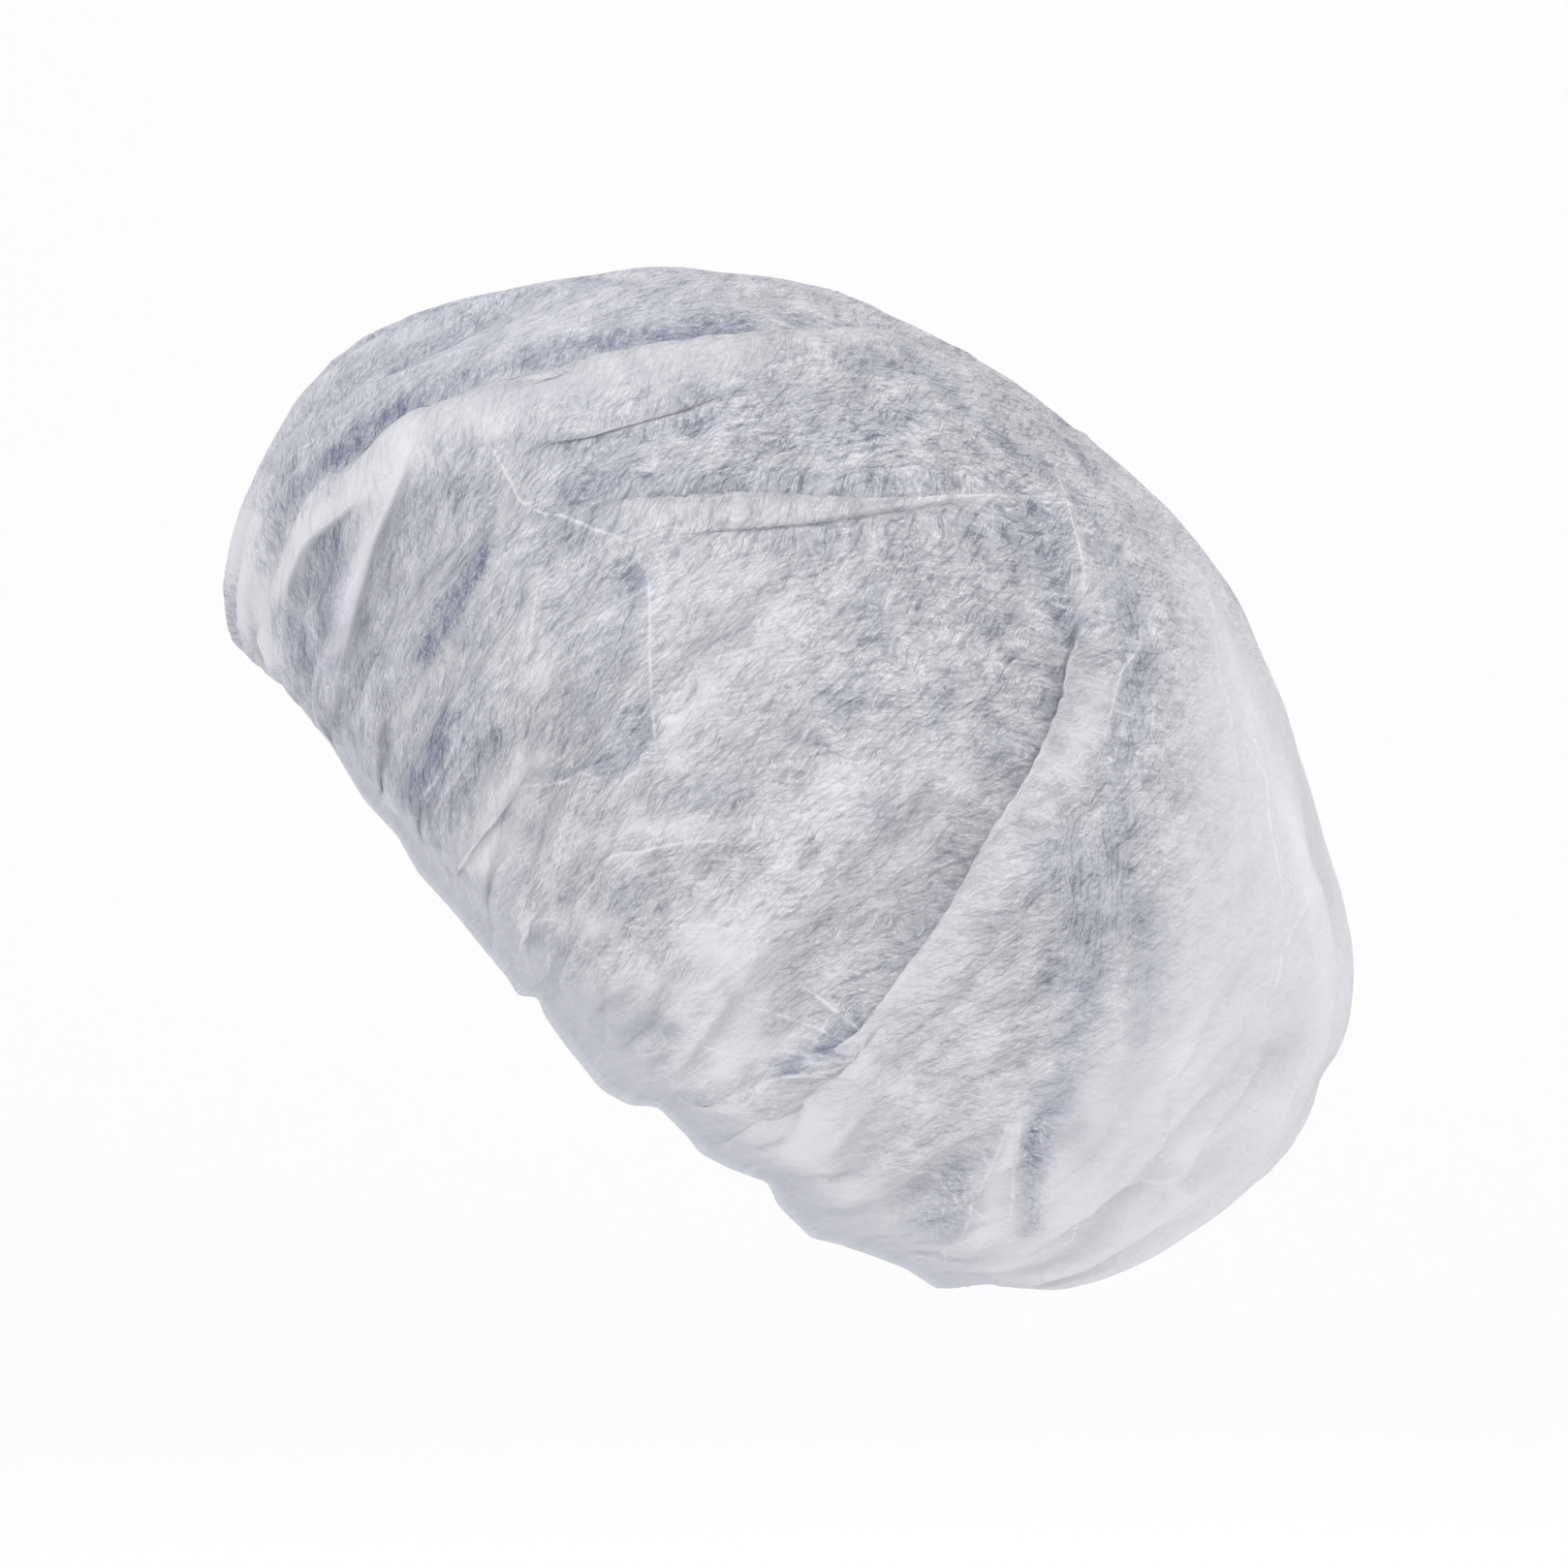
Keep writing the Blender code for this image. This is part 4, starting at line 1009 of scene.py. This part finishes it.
def beside_line(cloth, normals, line, reach, soft_start, soft_end):
    """The points within reach of a line: which they are, how far right of it, which way is right, the
    normal, and a strength that fades in and out over the soft shares of the line and just past its ends."""
    spots, ahead = spots_on(cloth, line, 14 * len(line))
    inside = box_round(cloth, spots, reach)
    place, normal = cloth[inside], normals[inside]
    gap = place[:, None] - spots
    apart = np.sqrt((gap * gap).sum(axis=-1))
    close = apart.argmin(axis=1)
    kept = apart.min(axis=1) < reach * 1.2
    which = np.flatnonzero(inside)[kept]
    close, normal = close[kept], normal[kept]
    ahead = ahead[close]
    side = unit(np.cross(ahead, normal))
    off = place[kept] - spots[close]
    share = close / (len(spots) - 1)
    strength = np.clip(share / soft_start, 0, 1) * np.clip((1 - share) / soft_end, 0, 1)
    strength = eased(strength) * np.exp(-(((off * ahead).sum(axis=-1) / 0.002) ** 2))
    return which, (off * side).sum(axis=-1), side, normal, strength


# The painted highlight, a thin bright line along a fold: how far it reaches in metres, the last part of that,
# over which it fades out, and a distance past all lines, as far as which the creases are worked out
LINE_REACH = 0.0055
LINE_FADE = 0.0015
LINE_FAR = 0.009


class Marks:
    """The tones that the folds leave on the cloth: veil, with painted shadow beyond laps and the strokes'
    painted shade and light, calm and grain, and sets of thin bright lines, painted highlights, each with its
    distance and its brightness; lines that lie close together go to different sets."""

    def __init__(self, count, sets):
        self.veil, self.calm, self.grain = np.zeros(count), np.zeros(count), np.zeros(count)
        self.distance = np.full((sets, count), LINE_FAR)
        self.bright = np.zeros((sets, count))

    def add_line(self, which, distance, strength):
        """Puts a line into the set with the fewest points near it, where it is closer than what is there."""
        near = np.abs(distance) < LINE_REACH
        which, distance, strength = which[near], distance[near], strength[near]
        taken = [(np.abs(row[which]) < LINE_REACH).sum() for row in self.distance]
        row = int(np.argmin(taken))
        closer = np.abs(distance) < np.abs(self.distance[row][which])
        which, distance, strength = which[closer], distance[closer], strength[closer]
        self.distance[row][which] = distance
        self.bright[row][which] = strength * np.clip((LINE_REACH - np.abs(distance)) / LINE_FADE, 0, 1)


# A lap's strip is twice this wide, or this share of its reach if that is more; how far its white edge, partly
# a painted highlight, and the painted shadow beyond it spread; and the power that sharpens a crease's bell
LAP_HALF_STRIP = 0.0022
LAP_HALF_SHARE = 0.28
LAP_EDGE = 0.0012
LAP_SHADE = 0.004
CREASE_POWER = 1.3


def lap_over(move, marks, found, lap, reach, step, white, painted_shadow):
    """Folds the cloth over itself along a line: a strip about 5 mm wide turns back, which draws the cloth on
    its left over the cloth on its right by the lap, a step above it. The move is a sine over the strip, and
    fades as a squared cosine out to the reach."""
    which, distance, side, normal, strength = found
    half = max(LAP_HALF_STRIP, LAP_HALF_SHARE * reach / 1000)
    outer = np.cos(np.pi / 2 * np.clip((np.abs(distance) - half) / (reach / 1000 - half), 0, 1)) ** 2
    inner = np.sin(np.pi * distance / (2 * half))
    wave = -np.where(np.abs(distance) < half, inner, np.sign(distance) * outer)
    lap = lap / 1000 * strength
    lift = step / 1000 * strength * wave
    np.add.at(move, which, (lap * wave)[:, None] * side + lift[:, None] * normal)
    # The strip whitens where the cloth lies doubled and at its edge, partly a painted highlight; beyond the
    # edge a painted shadow greys the cloth, and a painted highlight runs along the fold as a thin line.
    band = np.where(distance < 0, outer, np.exp(-((distance / LAP_EDGE) ** 2)))
    shade = np.exp(-(((distance - half - lap) / LAP_SHADE) ** 2)) * (distance > 0)
    np.add.at(marks.veil, which, strength * (0.5 * painted_shadow * shade - 0.55 * white * band))
    np.add.at(marks.calm, which, strength * white * band)
    marks.add_line(which, distance + half * 0.8, strength * white * 0.8)


def crease_up(move, marks, found, rise, width, white):
    """Lifts a thin ridge along a line, its rise times a pointed bell of the distance over the width, and
    paints a thin highlight along it.
    """
    which, distance, side, normal, strength = found
    lift = 1.5 * rise / 1000 * strength * np.exp(-np.abs(distance * 1000 / width) ** CREASE_POWER)
    np.add.at(move, which, lift[:, None] * normal)
    marks.add_line(which, distance, strength * white * 1.2)


# The other side of the cap: a place and its mirror image add up to so many degrees, and its tones are weaker.
# A stroke is worked out as far as so many half widths.
MIRROR_DEGREES = 349
MIRROR_TONE = 0.8
STROKE_REACH = 2.5


def mirrored(line):
    """A line of the left side on the right side, a little further round."""
    return tuple((MIRROR_DEGREES - degrees, up) for degrees, up in line)


def add_shade(marks, cloth, line, half_width, tones):
    """Adds a stroke's tones round its line, and weaker ones on the other side of the cap: a bell of the
    distance over the half width."""
    for side, weight in ((line, 1.0), (mirrored(line), MIRROR_TONE)):
        spots = spots_on(cloth, side, 6 * len(side))[0]
        inside = box_round(cloth, spots, STROKE_REACH * half_width)
        apart = np.linalg.norm(cloth[inside][:, None] - spots, axis=-1).min(axis=1)
        bell = weight * np.exp(-((apart / half_width) ** 2))
        which = np.flatnonzero(inside)
        for layer, tone in zip((marks.veil, marks.calm, marks.grain), tones):
            layer[which] += tone * bell


# The lap in each gather, where it is largest: lap, reach, step, whiteness, painted shadow, and its soft
# shares. Creases fade in and out over a share of their length, and so many faint ones are drawn at random.
GATHER_LAP = (1.3, 6, 0.5, 0.25, 0.16)
GATHER_SOFTNESS = (0.1, 0.7)
CREASE_SOFTNESS = 0.3
FAINT_CREASES = 90
DEGREES_A_RADIAN = 57


def folded_cloth(cloth, places, normals):
    """The cloth with its sharp folds, and the marks they leave, painted shadows and highlights among them,
    with the strokes' painted shade and light. Distances are taken on the smooth places, and the rows on the
    hem move less."""
    move = np.zeros((cloth.shape[0] * cloth.shape[1], 3))
    marks = Marks(len(move), FOLD_SETS)
    view = SideView(cloth)
    for lap, reach, *values, soft_start, soft_end, line in all_laps(view):
        found = beside_line(places, normals, line, reach / 1000, soft_start, soft_end)
        lap_over(move, marks, found, lap, reach, *values)
    for *values, line in all_creases(view):
        found = beside_line(places, normals, line, LINE_FAR, CREASE_SOFTNESS, CREASE_SOFTNESS)
        crease_up(move, marks, found, *values)
    for half_width, *tones, line in SHADES:
        add_shade(marks, cloth, view.find(line), half_width / PHOTO_SCALE, tones)
    hold = np.clip(np.arange(len(cloth)) / RIM_ROWS, 0.25, 1)[:, None, None]
    return cloth + move.reshape(cloth.shape) * hold, marks


def all_laps(view):
    """The laps of the left side, the same mirrored to the right, and one in each gather, which lies to its
    left and to its right by turns."""
    laps = []
    for _, *values, soft_start, soft_end, places in LAPS:
        line = view.find(places)
        laps.append((*values, soft_start, soft_end, line))
        laps.append((*values, soft_end, soft_start, mirrored(line)[::-1]))
    draw = np.random.default_rng(3)
    for number, notch in enumerate(NOTCHES):
        size, lean, length = draw.uniform(0.5, 1.0), draw.uniform(-5, 5), draw.uniform(0.05, 0.15)
        line = ((notch, -0.035), (notch, 0.0), (notch + lean * 0.4, length * 0.5), (notch + lean, length))
        lap, reach, step, white, painted_shadow = GATHER_LAP
        turn = -1 if number % 2 else 1
        ends = (*GATHER_SOFTNESS[::turn], line[::turn])
        laps.append((lap * size, reach, step, white * size, painted_shadow * size, *ends))
    return laps


def all_creases(view):
    """The creases of the left side, their mirror images, and faint ones at random over the whole cloth."""
    creases = []
    for *values, places in CREASES:
        line = view.find(places)
        creases += [(*values, line), (*values, mirrored(line))]
    draw = np.random.default_rng(11)
    for _ in range(FAINT_CREASES):
        degrees, up = draw.uniform(0, 360), 1 - math.sqrt(draw.uniform(0.02, 0.95))
        turn, bend, length = draw.uniform(-1, 1), draw.uniform(-0.4, 0.4), draw.uniform(0.04, 0.14)
        line = []
        for part in np.linspace(0, 1, 4):
            way = turn + bend * part
            over = math.sin(way) * length * part / (1 - up) * DEGREES_A_RADIAN
            line.append((degrees + over, up + math.cos(way) * length * part))
        rise, width, white = draw.uniform(0.15, 0.5), draw.uniform(1.2, 2.4), draw.uniform(0.04, 0.16)
        creases.append((rise, width, white, line))
    return creases


# The tones: the veil of the plain cloth, what its upper part and the back add, and the veil at the rim, which
# fades from a little below the hem's line over a length in metres; how many degrees the back and the front
# take up to either side
VEIL_PLAIN = 0.46
VEIL_ABOVE = 0.15
VEIL_BACK = -0.40
VEIL_RIM = 0.25
RIM_TONE_START = 0.004
RIM_TONE_LENGTH = 0.021
BACK_DEGREES = 64
BACK_FADE = 20
FRONT_DEGREES = 48


def cloth_tones(marks, rise, angle, radii):
    """The finish's point values. The veil is greater higher up and in hollows, less on what stands out and at
    the back, and even at the rim, where the cloth is also calm and cool. The front is cool low down."""
    # The marks' veil holds the laps' painted shadow and the strokes' painted shade and light; where it greys
    # the cloth, the cloth is also painted bluer.
    spots, calm, grain = (values.reshape(rise.shape) for values in (marks.veil, marks.calm, marks.grain))
    up = np.broadcast_to((1 - radii / CROWN_RADIUS)[:, None], rise.shape)
    degrees = np.degrees(angle)
    near_rim = np.exp(-((np.maximum(up * CROWN_RADIUS + RIM_TONE_START, 0) / RIM_TONE_LENGTH) ** 2))
    back = np.clip((BACK_DEGREES - np.abs(degrees - 180)) / BACK_FADE, 0, 1)
    back = eased(back * np.clip((0.86 - up) / 0.2, 0, 1))
    front = np.exp(-((np.minimum(degrees, 360 - degrees) / FRONT_DEGREES) ** 2))
    front = front * np.clip((0.75 - up) / 0.3, 0, 1)
    veil = VEIL_PLAIN + VEIL_ABOVE * np.clip((up - 0.35) / 0.3, 0, 1) + spots
    veil = veil - np.clip(rise / 0.02, -0.2, 0.2) + VEIL_BACK * back
    veil += (VEIL_RIM - veil) * near_rim * 0.9
    return {
        "veil": veil,
        "calm": np.clip(calm + 0.75 * near_rim + 0.95 * back, -0.5, 1),
        "grain": np.clip(grain, -1, 1),
        "cool": np.clip(front + 1.2 * near_rim + 1.6 * np.maximum(spots, 0), 0, 1),
    }


def make_crown():
    """The folded cloth as a mesh on its flat cut, with the marks as point values for the finish. Its lowest
    rows run on down the outside of the hem, as the same cloth does."""
    relaxed, bag = gathered_cloth()
    angle = bag.angle[0]
    normals = grid_normals(over_hem(bag.smooth, angle))
    cloth, marks = folded_cloth(over_hem(relaxed, angle), over_hem(bag.points, angle), normals)
    radii = np.concatenate([CROWN_RADIUS + RIM_ROW_STEP * np.arange(RIM_ROWS, 0, -1), bag.radii])
    uv = np.concatenate([flat_cut(radii, angle).reshape(-1, 2), [(0.0, 0.0)]])
    finish = make_spunbond("crown_spunbond", 1.0, CROWN_TINT)
    piece = add_surface("puffed_crown", cloth, finish, uv, tip=cloth[-1].mean(axis=0))

    def with_tip(values):
        """The cloth's values, and the tip's, which is that of the last row."""
        return np.append(np.ravel(values), np.ravel(values)[-1])

    rise = ((relaxed - bag.smooth) * bag.normals).sum(axis=-1)
    rise = np.concatenate([np.repeat(rise[:1], RIM_ROWS, axis=0), rise])
    for name, values in cloth_tones(marks, rise, angle, radii).items():
        set_points(piece, name, with_tip(values))
    # The painted highlights along folds and creases: their distance in mm and their brightness
    for number in range(FOLD_SETS):
        distance, bright = with_tip(marks.distance[number] * 1000), with_tip(marks.bright[number])
        set_points(piece, f"folds_{number}", np.stack([distance, bright, np.zeros(len(bright))], axis=-1))
    return piece


crown = make_crown()
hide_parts("crown")
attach(crown, "root")


# The studio: a wide pale floor well below the cap, a white room, one large soft light above the left and back
# of it and a weaker one in front, and a long lens level with the cap, square to its left side.
FLOOR_HEIGHT = -0.32
FLOOR_HALF = 5.0
SWEEP_RADIUS = 1.5
SWEEP_START = -2.0
SWEEP_STEPS = 33
WALL_HEIGHT = 6.0
FLOOR_GREY = (0.955, 0.955, 0.955, 1)
FLOOR_WHITE = (0.97, 0.97, 0.97, 1)
MIDDLE = (0.0, 0.036, 0.047)
CAMERA_PLACE = (1.5, 0.036, 0.07)


def make_floor():
    """A floor that rises in a quarter circle into a wall far behind the cap, so that no edge shows."""
    turn = np.linspace(0, np.pi / 2, SWEEP_STEPS)
    wall = SWEEP_START - SWEEP_RADIUS
    x = np.concatenate([[FLOOR_HALF], SWEEP_START - SWEEP_RADIUS * np.sin(turn), [wall]])
    z = np.concatenate([[0.0], SWEEP_RADIUS * (1 - np.cos(turn)), [WALL_HEIGHT]]) + FLOOR_HEIGHT
    near = np.stack([x, np.full_like(x, -FLOOR_HALF), z], axis=-1)
    far = near * (1, -1, 1)
    mesh = bpy.data.meshes.new("floor")
    count = len(x)
    faces = [(k, k + 1, count + k + 1, count + k) for k in range(count - 1)]
    mesh.from_pydata(np.concatenate([near, far]).tolist(), [], faces)
    mesh.shade_smooth()
    material, tree = new_material("pale_floor")
    grain = add_node(tree, "TexNoise", {"Scale": 6.0, "Detail": 4.0}).outputs["Fac"]
    colour = mixed(tree, grain, FLOOR_GREY, FLOOR_WHITE)
    paint = add_node(tree, "BsdfPrincipled", {"Base Color": colour, "Roughness": 0.8})
    add_node(tree, "OutputMaterial", {"Surface": paint.outputs["BSDF"]})
    mesh.materials.append(material)
    floor = bpy.data.objects.new("floor", mesh)
    bpy.context.collection.objects.link(floor)
    return floor


def aim(thing, place, target):
    """Puts a light or camera at a place and turns its view to the target."""
    thing.location = place
    thing.rotation_euler = (Vector(target) - Vector(place)).to_track_quat("-Z", "Y").to_euler()


def add_light(name, place, size, power):
    """A soft square light of a size in metres and a power in watts, which shines at the cap's middle."""
    lamp = bpy.data.lights.new(name, "AREA")
    lamp.size = size
    lamp.energy = power
    light = bpy.data.objects.new(name, lamp)
    bpy.context.collection.objects.link(light)
    aim(light, place, MIDDLE)


make_floor()
add_light("top_light", (0.9, 0.7, 1.5), size=1.4, power=14.0)
add_light("front_light", (1.4, -1.2, 0.6), size=1.6, power=5.0)

world = bpy.data.worlds.new("white_room")
world.use_nodes = True
room = world.node_tree.nodes["Background"].inputs
room["Color"].default_value = (1.0, 1.0, 1.0, 1)
room["Strength"].default_value = 0.95
scene = bpy.context.scene
scene.world = world
scene.view_settings.view_transform = "Standard"

lens = bpy.data.cameras.new("side_camera")
lens.lens = 150
lens.sensor_width = 36
camera = bpy.data.objects.new("side_camera", lens)
scene.collection.objects.link(camera)
aim(camera, CAMERA_PLACE, MIDDLE)
scene.camera = camera
